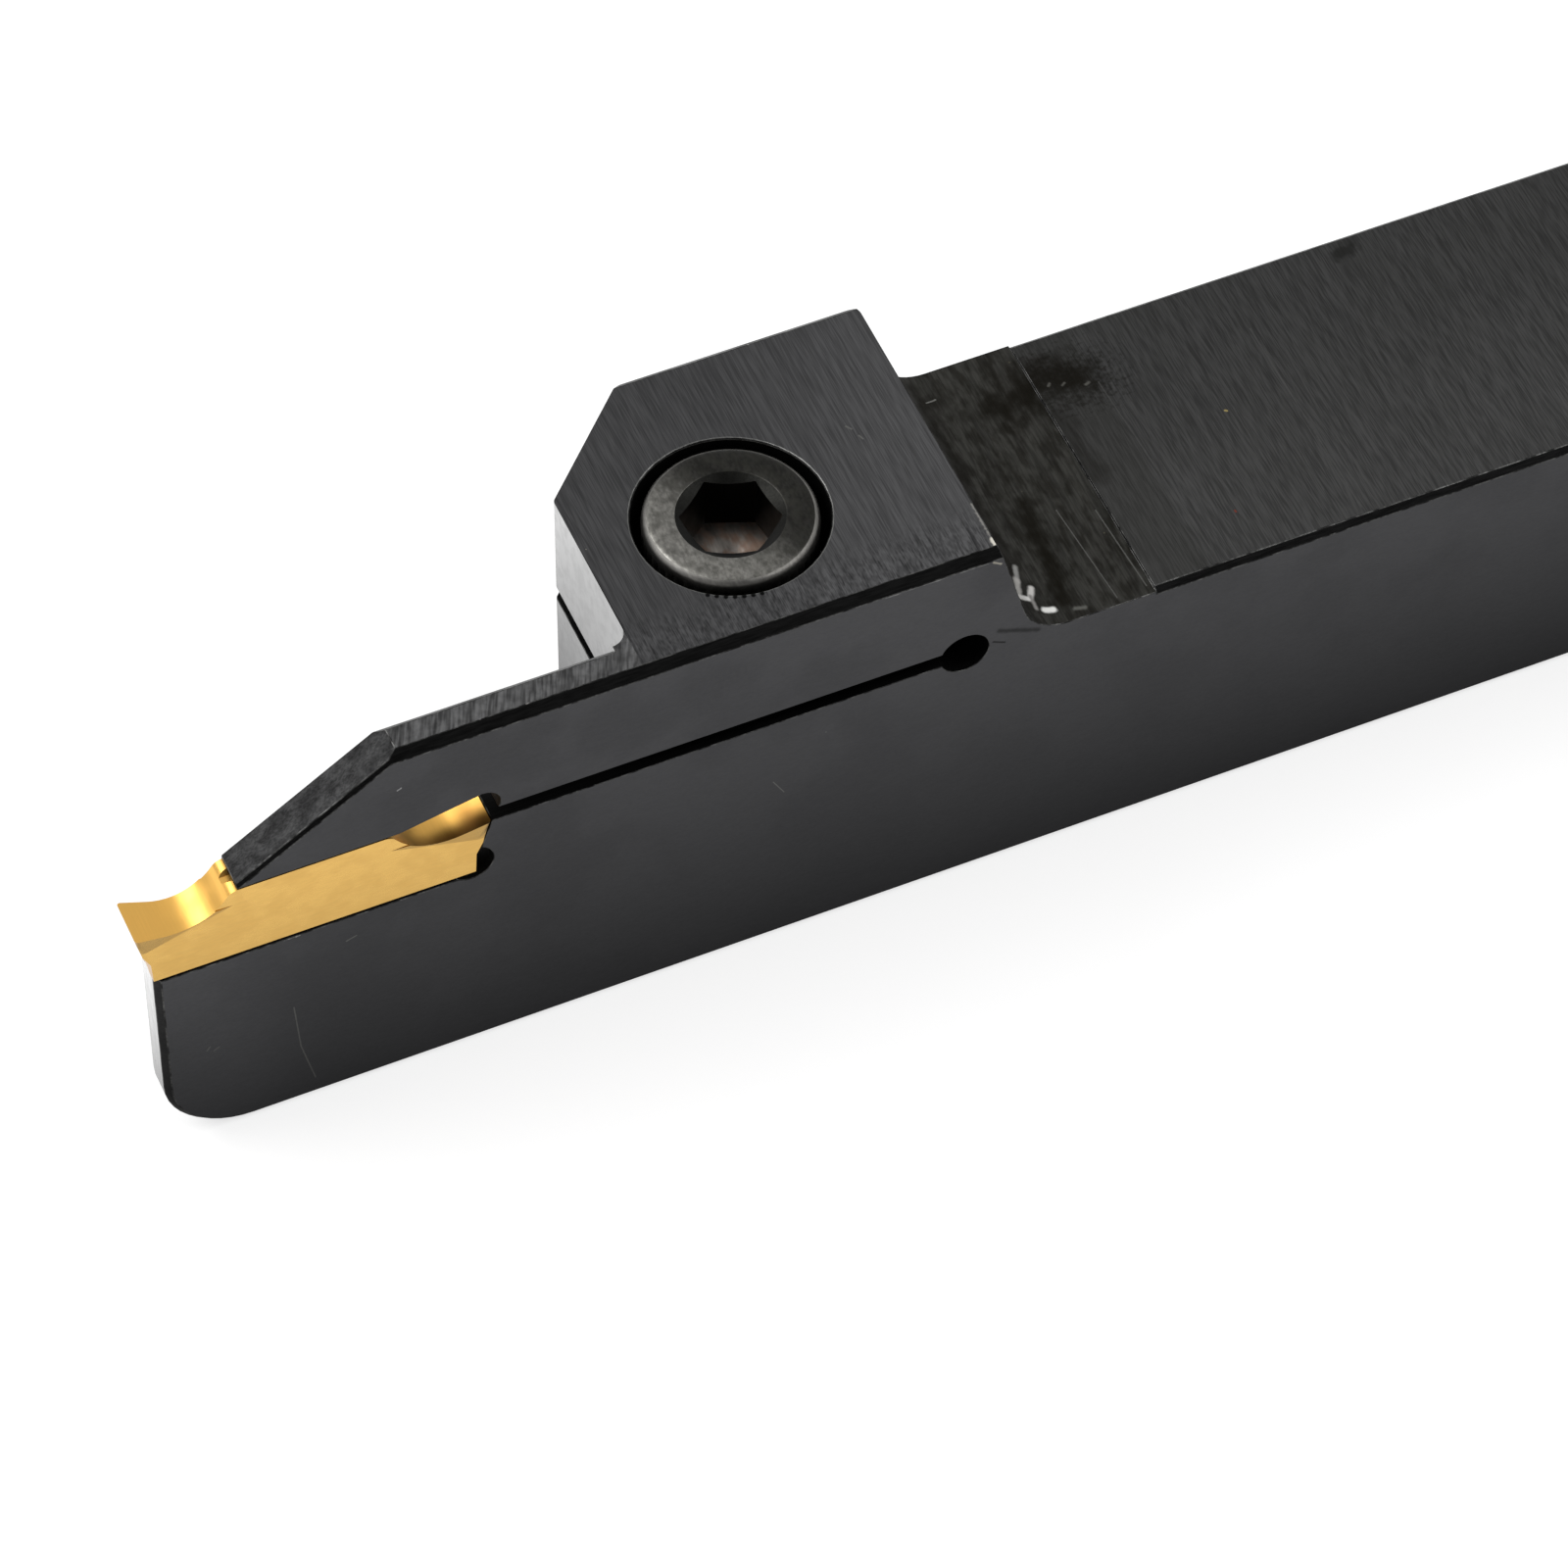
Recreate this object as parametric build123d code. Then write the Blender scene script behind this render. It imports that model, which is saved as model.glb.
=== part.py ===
from build123d import *
from math import atan, cos, radians, tan
import os

# A tool holder for grooving and parting on a lathe, in millimetres: a steel bar
# with a thin blade in front, slit so that the upper half springs, a cap screw
# that draws the two halves together, and a double-ended insert held between them.
#
# The origin lies on the underside of the shank, on its centre line, below the
# rear top edge of the head. +X runs back along the shank, +Y to the far side,
# away from the blade, and +Z up.

# Shank
SHANK_WIDTH = 20.0
SHANK_HEIGHT = 20.0
OVERALL_LENGTH = 125.0  # from the cutting edge to the end of the shank
BODY_BEVEL = 0.37
END_BEVEL = 0.6

# Head: the block behind the blade that carries the screw
HEAD_HEIGHT = 28.2
HEAD_LENGTH = 21.3
HEAD_BEVEL = 0.57
FRONT_CORNER_BEVEL = 6.8
FRONT_CORNER_RADIUS = 0.4
REAR_CORNER_RADIUS = 1.0  # at the top of the upright far edge, fading out down to its foot
REAR_WALL_LEAN = 15.0  # degrees from upright
REAR_FILLET = 3.0
RUNOUT_DEPTH = 0.15  # the cutter's flat behind the head, below the shank's top
RUNOUT_LENGTH = 9.9

# Blade
BLADE_LENGTH = 29.4
BLADE_THICKNESS = 2.4
BLADE_ROOT_RADIUS = 1.0
BLADE_FAR_BEVEL = 0.45
TOE_RADIUS = 5.0
RAMP_SETBACK = 14.5  # from the head's front face to the top of the ramp
RAMP_ANGLE = 34.5
RAMP_BEVEL = 0.22
NOSE_HEIGHT = 0.3  # the small upright face at the jaw's tip
SEAT_BEVEL = 0.16
JAW_EDGE_BREAK = 0.12

# Insert
INSERT_LENGTH = 20.9
INSERT_HEIGHT = 5.7
INSERT_WIDTH = 2.35
EDGE_WIDTH = 3.0
EDGE_HEIGHT = 4.5  # cutting edge above the insert's base
CORNER_RADIUS = 0.2
INSERT_OVERHANG = 0.95  # cutting edge in front of the toe
RAKE_ANGLE = 18.0
CHIP_FORMER_LENGTH = 5.75
CHIP_WALL_ANGLE = 54.5
CHIP_FORMER_RADIUS = 3.3
CHIP_CREST_RADIUS = 0.8
END_RELIEF_DEPTH = 2.0
END_RELIEF_SETBACK = 0.42
HEEL_DEPTH = 0.9
HEEL_SETBACK = 0.42
HEEL_LEAN = 0.08
SIDE_RELIEF_ANGLE = 10.0
SIDE_TAPER_ANGLE = 3.2
INSERT_EDGE_BREAK = 0.08

# Guide grooves in the insert, and the ribs of the pocket that fill them
GUIDE_MOUTH = 0.9
GUIDE_CREST = 0.4
GUIDE_DEPTH = 0.3
GUIDE_CLEARANCE = 0.02

# Pocket
STOP_EXTRA_LEAN = 6.0  # how much more the stop leans than the insert's end
STOP_CLEARANCE = 0.02
JAW_RELIEF_ANGLE = 11.8
UPPER_RELIEF_RADIUS = 1.05
UPPER_RELIEF_SETBACK = 0.35  # from the insert's rear edge, towards the tip
LOWER_RELIEF_RADIUS = 1.33
LOWER_RELIEF_RISE = 0.92  # its centre above the seat
LOWER_RELIEF_SETBACK = 1.16  # from the insert's rear edge, towards the tip

# Slit that lets the upper jaw spring
SLIT_HEIGHT = 1.0
SLIT_LEVEL = 20.2
SLIT_HOLE_DIAMETER = 2.95
SLIT_HOLE_SETBACK = 2.0  # from the head's rear top edge

# Clamp screw, M6
SCREW_DIAMETER = 6.0
SCREW_LENGTH = 20.0
SCREW_HEAD_DIAMETER = 10.0
SCREW_HEAD_HEIGHT = 6.0
SCREW_HEAD_BEVEL = 0.45
SCREW_TIP_BEVEL = 0.8
SCREW_SETBACK = 12.7  # from the head's rear top edge
SCREW_OFFSET = -1.7  # across the holder, towards the blade
JAW_UNDER_HEAD = 2.15  # steel between the screw's head and the middle of the slit
UNDERHEAD_RADIUS = 0.25
SOCKET_ACROSS_FLATS = 5.0
SOCKET_DEPTH = 3.75
SOCKET_MOUTH_DIAMETER = 6.3
SOCKET_MOUTH_ANGLE = 120.0
SOCKET_FLOOR_ANGLE = 160.0
SOCKET_PIT_DIAMETER = 1.9
SOCKET_PIT_ANGLE = 118.0
SOCKET_TURN = 38.0  # degrees
COUNTERBORE_DIAMETER = 11.2
JAW_HOLE_DIAMETER = 6.6
THREAD_CLEARANCE = 0.05  # all round, between screw and tapped hole
THREAD_MOUTH_BEVEL = 0.5

# Places that follow from the sizes
HALF_WIDTH = SHANK_WIDTH / 2
HEAD_FRONT = -HEAD_LENGTH
BLADE_FRONT = HEAD_FRONT - BLADE_LENGTH
INSERT_FRONT = BLADE_FRONT - INSERT_OVERHANG
INSERT_REAR = INSERT_FRONT + INSERT_LENGTH
SHANK_END = INSERT_FRONT + OVERALL_LENGTH
BLADE_FAR_SIDE = -HALF_WIDTH + BLADE_THICKNESS
BLADE_MIDDLE = -HALF_WIDTH + BLADE_THICKNESS / 2
SEAT_LEVEL = SHANK_HEIGHT - EDGE_HEIGHT  # the cutting edge stands level with the shank
JAW_LEVEL = SEAT_LEVEL + INSERT_HEIGHT
RAMP_START = HEAD_FRONT - RAMP_SETBACK
NOSE_TOP = JAW_LEVEL + NOSE_HEIGHT
JAW_TIP = RAMP_START - (HEAD_HEIGHT - NOSE_TOP) / tan(radians(RAMP_ANGLE))
JAW_LAND_END = INSERT_REAR - CHIP_FORMER_LENGTH
RUNOUT_LEVEL = SHANK_HEIGHT - RUNOUT_DEPTH
WALL_FOOT = (HEAD_HEIGHT - RUNOUT_LEVEL) * tan(radians(REAR_WALL_LEAN))
UPPER_RELIEF_X = INSERT_REAR - UPPER_RELIEF_SETBACK
LOWER_RELIEF_X = INSERT_REAR - LOWER_RELIEF_SETBACK
SCREW_SEAT_LEVEL = SLIT_LEVEL + JAW_UNDER_HEAD

UPWARD = (Align.CENTER, Align.CENTER, Align.MIN)
DOWNWARD = (Align.CENTER, Align.CENTER, Align.MAX)


def across(outline, near, far):
    """Give a side view (X, Z) its thickness, from y = near to y = far."""
    return extrude(Plane.XZ.offset(-far) * outline, far - near, dir=(0, -1, 0))


def lengthwise(section, front, rear):
    """Give a cross-section (Y, Z) its length, from x = front to x = rear."""
    return extrude(Plane.YZ.offset(front) * section, rear - front, dir=(1, 0, 0))


def corner(outline, x, y):
    """The vertex of a flat outline that lies at (x, y)."""
    return outline.vertices().sort_by_distance((x, y))[0]


def edge_at(solid, x, y, z):
    """The edge of a solid that passes closest to (x, y, z)."""
    return solid.edges().sort_by_distance((x, y, z))[0]


def body_side_view():
    """Shank, leaning rear wall, head, ramp, jaw and toe, seen from the side."""
    outline = Polygon(
        (SHANK_END, 0),
        (SHANK_END, SHANK_HEIGHT),
        (RUNOUT_LENGTH, SHANK_HEIGHT),
        (RUNOUT_LENGTH, RUNOUT_LEVEL),
        (WALL_FOOT, RUNOUT_LEVEL),
        (0, HEAD_HEIGHT),
        (RAMP_START, HEAD_HEIGHT),
        (JAW_TIP, NOSE_TOP),
        (JAW_TIP, SEAT_LEVEL),
        (BLADE_FRONT, SEAT_LEVEL),
        (BLADE_FRONT, 0),
        align=None,
    )
    outline = fillet(corner(outline, WALL_FOOT, RUNOUT_LEVEL), REAR_FILLET)
    return fillet(corner(outline, BLADE_FRONT, 0), TOE_RADIUS)


def body_plan_view():
    """The bar with its corner cut off and the thin blade in front, seen from above."""
    outline = Polygon(
        (SHANK_END, -HALF_WIDTH),
        (SHANK_END, HALF_WIDTH),
        (HEAD_FRONT + FRONT_CORNER_BEVEL, HALF_WIDTH),
        (HEAD_FRONT, HALF_WIDTH - FRONT_CORNER_BEVEL),
        (HEAD_FRONT, BLADE_FAR_SIDE),
        (BLADE_FRONT, BLADE_FAR_SIDE),
        (BLADE_FRONT, -HALF_WIDTH),
        align=None,
    )
    outline = fillet(corner(outline, HEAD_FRONT + FRONT_CORNER_BEVEL, HALF_WIDTH), FRONT_CORNER_RADIUS)
    outline = fillet(corner(outline, HEAD_FRONT, HALF_WIDTH - FRONT_CORNER_BEVEL), FRONT_CORNER_RADIUS)
    return fillet(corner(outline, HEAD_FRONT, BLADE_FAR_SIDE), BLADE_ROOT_RADIUS)


def screw_axis(level):
    """The screw's axis, at a height above the underside of the shank."""
    return Pos(-SCREW_SETBACK, SCREW_OFFSET, level)


def jaw_underside(x):
    """Height of the upper jaw's underside behind the insert's flat top."""
    return JAW_LEVEL + (x - JAW_LAND_END) * tan(radians(JAW_RELIEF_ANGLE))


def pocket_gap():
    """The space between the jaws: seat, leaning stop and relieved upper jaw."""
    stop_slope = tan(atan(END_RELIEF_SETBACK / END_RELIEF_DEPTH) + radians(STOP_EXTRA_LEAN))
    contact_x = INSERT_REAR - END_RELIEF_SETBACK + STOP_CLEARANCE
    contact_z = SHANK_HEIGHT - END_RELIEF_DEPTH
    outline = Polygon(
        (INSERT_FRONT, SEAT_LEVEL),
        (contact_x + (SEAT_LEVEL - contact_z) * stop_slope, SEAT_LEVEL),
        (contact_x + (SLIT_LEVEL - contact_z) * stop_slope, SLIT_LEVEL),
        (UPPER_RELIEF_X, jaw_underside(UPPER_RELIEF_X)),
        (JAW_LAND_END, JAW_LEVEL),
        (INSERT_FRONT, JAW_LEVEL),
        align=None,
    )
    return across(outline, -HALF_WIDTH, BLADE_FAR_SIDE)


def relief_holes():
    """The two holes that clear the insert's rear edge and its lower corner."""
    drop = UPPER_RELIEF_RADIUS / cos(radians(JAW_RELIEF_ANGLE))
    upper = Pos(UPPER_RELIEF_X, jaw_underside(UPPER_RELIEF_X) - drop) * Circle(UPPER_RELIEF_RADIUS)
    lower = Pos(LOWER_RELIEF_X, SEAT_LEVEL + LOWER_RELIEF_RISE) * Circle(LOWER_RELIEF_RADIUS)
    return across(upper + lower, -HALF_WIDTH, BLADE_FAR_SIDE)


def slit():
    """The saw cut from the pocket to the round hole that ends it, through the whole head."""
    front = UPPER_RELIEF_X
    rear = -SLIT_HOLE_SETBACK
    cut = Pos((front + rear) / 2, SLIT_LEVEL) * Rectangle(rear - front, SLIT_HEIGHT)
    hole = Pos(rear, SLIT_LEVEL) * Circle(SLIT_HOLE_DIAMETER / 2)
    return across(cut + hole, -HALF_WIDTH, HALF_WIDTH)


def guide_section(level, direction, clearance):
    """A guide's section, from just behind a flat at this level to its tip, up (1) or down (-1)."""
    mouth = GUIDE_MOUTH / 2 - clearance
    crest = GUIDE_CREST / 2 - clearance
    tip = level + direction * (GUIDE_DEPTH - clearance)
    root = level - direction * GUIDE_DEPTH
    return Polygon(
        (BLADE_MIDDLE - mouth, root),
        (BLADE_MIDDLE + mouth, root),
        (BLADE_MIDDLE + mouth, level),
        (BLADE_MIDDLE + crest, tip),
        (BLADE_MIDDLE - crest, tip),
        (BLADE_MIDDLE - mouth, level),
        align=None,
    )


def pocket_ribs():
    """The ribs on the seat and under the upper jaw that hold the insert sideways."""
    seat_rib = lengthwise(guide_section(SEAT_LEVEL, 1, GUIDE_CLEARANCE), BLADE_FRONT, LOWER_RELIEF_X)
    jaw_rib = lengthwise(guide_section(JAW_LEVEL, -1, GUIDE_CLEARANCE), JAW_TIP, JAW_LAND_END)
    return seat_rib + jaw_rib


def screw_hole():
    """Counterbore, clearance hole through the upper jaw and tapped hole through the bar."""
    counterbore_depth = HEAD_HEIGHT - SCREW_SEAT_LEVEL
    counterbore = Cylinder(COUNTERBORE_DIAMETER / 2, counterbore_depth, align=UPWARD)
    jaw_hole = Cylinder(JAW_HOLE_DIAMETER / 2, JAW_UNDER_HEAD, align=UPWARD)
    tapped_hole = Cylinder(SCREW_DIAMETER / 2, SLIT_LEVEL, align=UPWARD)
    mouth_radius = SCREW_DIAMETER / 2 + THREAD_MOUTH_BEVEL
    mouth = Cone(mouth_radius, SCREW_DIAMETER / 2, THREAD_MOUTH_BEVEL, align=UPWARD)
    hole = screw_axis(SCREW_SEAT_LEVEL) * counterbore + screw_axis(SLIT_LEVEL) * jaw_hole
    return hole + screw_axis(0) * (tapped_hole + mouth)


def bar_blank():
    """Shank and head as bars of their own sections, end to end, with bevelled top edges."""
    shank = Pos(0, SHANK_HEIGHT / 2) * Rectangle(SHANK_WIDTH, SHANK_HEIGHT)
    shank = chamfer(shank.vertices().group_by(Axis.Y)[-1], BODY_BEVEL)
    head = Pos(0, HEAD_HEIGHT / 2) * Rectangle(SHANK_WIDTH, HEAD_HEIGHT)
    head = chamfer(head.vertices().group_by(Axis.Y)[-1], HEAD_BEVEL)
    return lengthwise(shank, RUNOUT_LENGTH, SHANK_END) + lengthwise(head, BLADE_FRONT, RUNOUT_LENGTH)


def rear_corner_cut():
    """What rounds the upright far rear edge of the head, less and less towards its foot."""
    radius = REAR_CORNER_RADIUS
    fade = radius * (1 - cos(radians(45)))
    outside = Rectangle(radius, radius, align=Align.MIN) - Circle(radius)
    downward = Vector(WALL_FOOT + fade, fade, RUNOUT_LEVEL - HEAD_HEIGHT)
    start = Pos(-radius, HALF_WIDTH - radius, HEAD_HEIGHT) * outside
    return extrude(start, downward.length, dir=downward)


def blade_bevel():
    """What the bevel takes off the blade's far top edge, in front of its root."""
    section = Polygon(
        (BLADE_FAR_SIDE - BLADE_FAR_BEVEL, HEAD_HEIGHT),
        (BLADE_FAR_SIDE, HEAD_HEIGHT - BLADE_FAR_BEVEL),
        (BLADE_FAR_SIDE + BLADE_FAR_BEVEL, HEAD_HEIGHT),
        align=None,
    )
    return lengthwise(section, BLADE_FRONT, HEAD_FRONT - BLADE_ROOT_RADIUS)


def break_body_edges(body):
    """Break the edges of the underside, the head, the blade, the ramp and the end."""
    underside = [edge_at(body, SHANK_END / 2, side, 0) for side in (-HALF_WIDTH, HALF_WIDTH)]
    body = chamfer(underside, BODY_BEVEL) - rear_corner_cut() - blade_bevel()
    ramp = edge_at(body, (RAMP_START + JAW_TIP) / 2, -HALF_WIDTH, (HEAD_HEIGHT + NOSE_TOP) / 2)
    body = chamfer(ramp, RAMP_BEVEL)
    return chamfer(body.faces().sort_by(Axis.X)[-1].edges(), END_BEVEL)


def break_pocket_edges(body):
    """Bevel the near edges of the seat and of the upper jaw."""
    middle = (JAW_TIP + JAW_LAND_END) / 2
    body = chamfer(edge_at(body, middle, -HALF_WIDTH, SEAT_LEVEL), SEAT_BEVEL)
    return chamfer(edge_at(body, middle, -HALF_WIDTH, JAW_LEVEL), JAW_EDGE_BREAK)


def holder_body():
    """The steel bar with its head, blade, spring slit, pocket and screw hole, all one piece."""
    side_view = across(body_side_view(), -HALF_WIDTH, HALF_WIDTH)
    plan_view = extrude(body_plan_view(), HEAD_HEIGHT)
    body = break_body_edges(bar_blank() & side_view & plan_view)
    body = body - pocket_gap() + pocket_ribs()
    body = body - relief_holes() - slit() - screw_hole()
    return break_pocket_edges(body)


def insert_end_points(end, inward):
    """One end of the insert seen from the side; inward is 1 at the front and -1 at the rear."""
    relief_x = end + inward * END_RELIEF_SETBACK
    heel_x = relief_x + inward * HEEL_SETBACK
    wall_slope = tan(radians(CHIP_WALL_ANGLE))
    rake_slope = tan(radians(RAKE_ANGLE))
    rise = INSERT_HEIGHT - EDGE_HEIGHT
    trough = (CHIP_FORMER_LENGTH * wall_slope - rise) / (wall_slope + rake_slope)
    return [
        (end + inward * CHIP_FORMER_LENGTH, JAW_LEVEL),
        (end + inward * trough, SHANK_HEIGHT - trough * rake_slope),
        (end, SHANK_HEIGHT),
        (relief_x, SHANK_HEIGHT - END_RELIEF_DEPTH),
        (heel_x, SHANK_HEIGHT - END_RELIEF_DEPTH - HEEL_DEPTH),
        (heel_x + inward * HEEL_LEAN, SEAT_LEVEL),
    ]


def insert_side_view():
    """Chip formers, end relief and heels of the insert, seen from the side."""
    front = insert_end_points(INSERT_FRONT, 1)
    rear = insert_end_points(INSERT_REAR, -1)
    outline = Polygon(*front, *reversed(rear), align=None)
    for points in (front, rear):
        outline = fillet(corner(outline, *points[1]), CHIP_FORMER_RADIUS)
        outline = fillet(corner(outline, *points[0]), CHIP_CREST_RADIUS)
    return outline


def cutting_head(end, inward):
    """The wide end of the insert, tapering back and down from its edge to the insert's width."""
    length = (EDGE_WIDTH - INSERT_WIDTH) / 2 / tan(radians(SIDE_TAPER_ANGLE))
    depth = (EDGE_WIDTH - INSERT_WIDTH) / 2 / tan(radians(SIDE_RELIEF_ANGLE))
    plan = Polygon(
        (end, -EDGE_WIDTH / 2),
        (end, EDGE_WIDTH / 2),
        (end + inward * length, INSERT_WIDTH / 2),
        (end + inward * length, -INSERT_WIDTH / 2),
        align=None,
    )
    corners = [corner(plan, end, EDGE_WIDTH / 2), corner(plan, end, -EDGE_WIDTH / 2)]
    plan = fillet(corners, CORNER_RADIUS)
    top = Pos(0, BLADE_MIDDLE, SHANK_HEIGHT) * plan
    return extrude(top, depth, dir=(0, 0, -1), taper=SIDE_RELIEF_ANGLE)


def grooving_insert():
    """The double-ended carbide insert, seated between the jaws."""
    profile = across(insert_side_view(), BLADE_MIDDLE - EDGE_WIDTH / 2, BLADE_MIDDLE + EDGE_WIDTH / 2)
    core_length = INSERT_LENGTH - CORNER_RADIUS / 2
    core_middle = Pos((INSERT_FRONT + INSERT_REAR) / 2, BLADE_MIDDLE, SEAT_LEVEL + INSERT_HEIGHT / 2)
    core = core_middle * Box(core_length, INSERT_WIDTH, INSERT_HEIGHT)
    heads = cutting_head(INSERT_FRONT, 1) + cutting_head(INSERT_REAR, -1)
    insert = profile & (core + heads)
    insert -= lengthwise(guide_section(SEAT_LEVEL, 1, 0), INSERT_FRONT, INSERT_REAR)
    insert -= lengthwise(guide_section(JAW_LEVEL, -1, 0), INSERT_FRONT, INSERT_REAR)
    sides = (BLADE_MIDDLE - INSERT_WIDTH / 2, BLADE_MIDDLE + INSERT_WIDTH / 2)
    base_edges = [edge_at(insert, (INSERT_FRONT + INSERT_REAR) / 2, side, SEAT_LEVEL) for side in sides]
    return chamfer(base_edges, INSERT_EDGE_BREAK)


def cone_depth(radius, full_angle):
    """Depth of a cone with this radius and full angle at its tip."""
    return radius / tan(radians(full_angle / 2))


def socket():
    """The hexagon socket with its bevelled mouth, cupped floor and drilled pit, down from z = 0."""
    flat = SOCKET_ACROSS_FLATS / 2
    pit = SOCKET_PIT_DIAMETER / 2
    hexagon = RegularPolygon(flat, 6, major_radius=False, rotation=SOCKET_TURN)
    sides = extrude(hexagon, SOCKET_DEPTH, dir=(0, 0, -1))
    mouth_depth = cone_depth(SOCKET_MOUTH_DIAMETER / 2 - flat, SOCKET_MOUTH_ANGLE)
    mouth = Cone(flat, SOCKET_MOUTH_DIAMETER / 2, mouth_depth, align=DOWNWARD)
    cup_depth = cone_depth(flat - pit, SOCKET_FLOOR_ANGLE)
    cup = Cone(pit, flat, cup_depth, align=DOWNWARD)
    point = Cone(0, pit, cone_depth(pit, SOCKET_PIT_ANGLE), align=DOWNWARD)
    return sides + mouth + Pos(0, 0, -SOCKET_DEPTH) * (cup + Pos(0, 0, -cup_depth) * point)


def clamp_screw():
    """The socket head cap screw, with its head in the counterbore."""
    head = Cylinder(SCREW_HEAD_DIAMETER / 2, SCREW_HEAD_HEIGHT, align=UPWARD)
    head = chamfer(head.edges().sort_by(Axis.Z)[-1], SCREW_HEAD_BEVEL)
    stem = Cylinder(SCREW_DIAMETER / 2 - THREAD_CLEARANCE, SCREW_LENGTH, align=DOWNWARD)
    stem = chamfer(stem.edges().sort_by(Axis.Z)[0], SCREW_TIP_BEVEL)
    screw = head + stem
    root = edge_at(screw, SCREW_DIAMETER / 2 - THREAD_CLEARANCE, 0, 0)
    screw = fillet(root, UNDERHEAD_RADIUS)
    return screw_axis(SCREW_SEAT_LEVEL) * (screw - Pos(0, 0, SCREW_HEAD_HEIGHT) * socket())


pieces = {
    "holder_body": holder_body(),
    "clamp_screw": clamp_screw(),
    "grooving_insert": grooving_insert(),
}
os.makedirs("parts", exist_ok=True)
for name, piece in pieces.items():
    export_step(piece, f"parts/{name}.step")
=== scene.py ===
"""A lathe tool holder for grooving, dressed over its solids.

Three sub-assemblies ride on the bodies of the solids: the holder's body, the
clamp screw and the insert. Field names that end in _mm are millimetres; every
mesh is in metres, in the same frame as the solids.
"""

import logging
import math
from collections.abc import Callable, Sequence
from dataclasses import dataclass
from enum import Enum

import bmesh
import bpy
from mathutils import Euler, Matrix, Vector


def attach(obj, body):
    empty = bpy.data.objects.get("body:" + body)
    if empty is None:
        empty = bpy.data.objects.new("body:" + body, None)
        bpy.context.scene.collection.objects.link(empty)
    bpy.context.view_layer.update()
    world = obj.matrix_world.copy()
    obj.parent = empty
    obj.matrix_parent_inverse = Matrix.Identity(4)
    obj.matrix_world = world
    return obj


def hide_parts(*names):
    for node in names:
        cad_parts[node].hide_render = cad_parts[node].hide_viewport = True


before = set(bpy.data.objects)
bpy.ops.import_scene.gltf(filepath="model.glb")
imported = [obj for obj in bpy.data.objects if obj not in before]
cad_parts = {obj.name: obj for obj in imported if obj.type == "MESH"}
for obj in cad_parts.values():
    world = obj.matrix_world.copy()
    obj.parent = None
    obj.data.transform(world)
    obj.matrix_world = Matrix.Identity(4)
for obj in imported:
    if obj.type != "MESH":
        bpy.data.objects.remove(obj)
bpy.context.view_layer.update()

LOG = logging.getLogger("tool_holder")
MM = 0.001
WELD_MM = 0.001
FLAT_DEGREES = 0.3
ROUNDED_DEGREES = 31.0
ROUNDING_SEGMENTS = 2
HEAD_LEVEL_MM = 28.2
SCREW_AXIS_MM = (-12.7, -1.7)
Colour = tuple[float, float, float]
Point = tuple[float, float, float]
Zone = Callable[[Vector, Vector], bool]


class Body(Enum):
    """The bodies of the solids, by name."""

    HOLDER = "holder"
    SCREW = "screw"
    INSERT = "insert"


class Slot(Enum):
    """The material slots that the pieces take their finish from."""

    STEEL = "blackened_steel"
    SCREW = "screw_steel"
    CARBIDE = "coated_carbide"


class Grain(Enum):
    """Which way a cutter or a wheel left its lines, as a turn in degrees."""

    ACROSS = (0.0, 0.0, 0.0)
    ALONG = (0.0, 0.0, 90.0)
    UPRIGHT = (90.0, 0.0, 0.0)
    SLANTING = (0.0, 0.0, 24.0)


# ---------------------------------------------------------------- node trees


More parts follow.
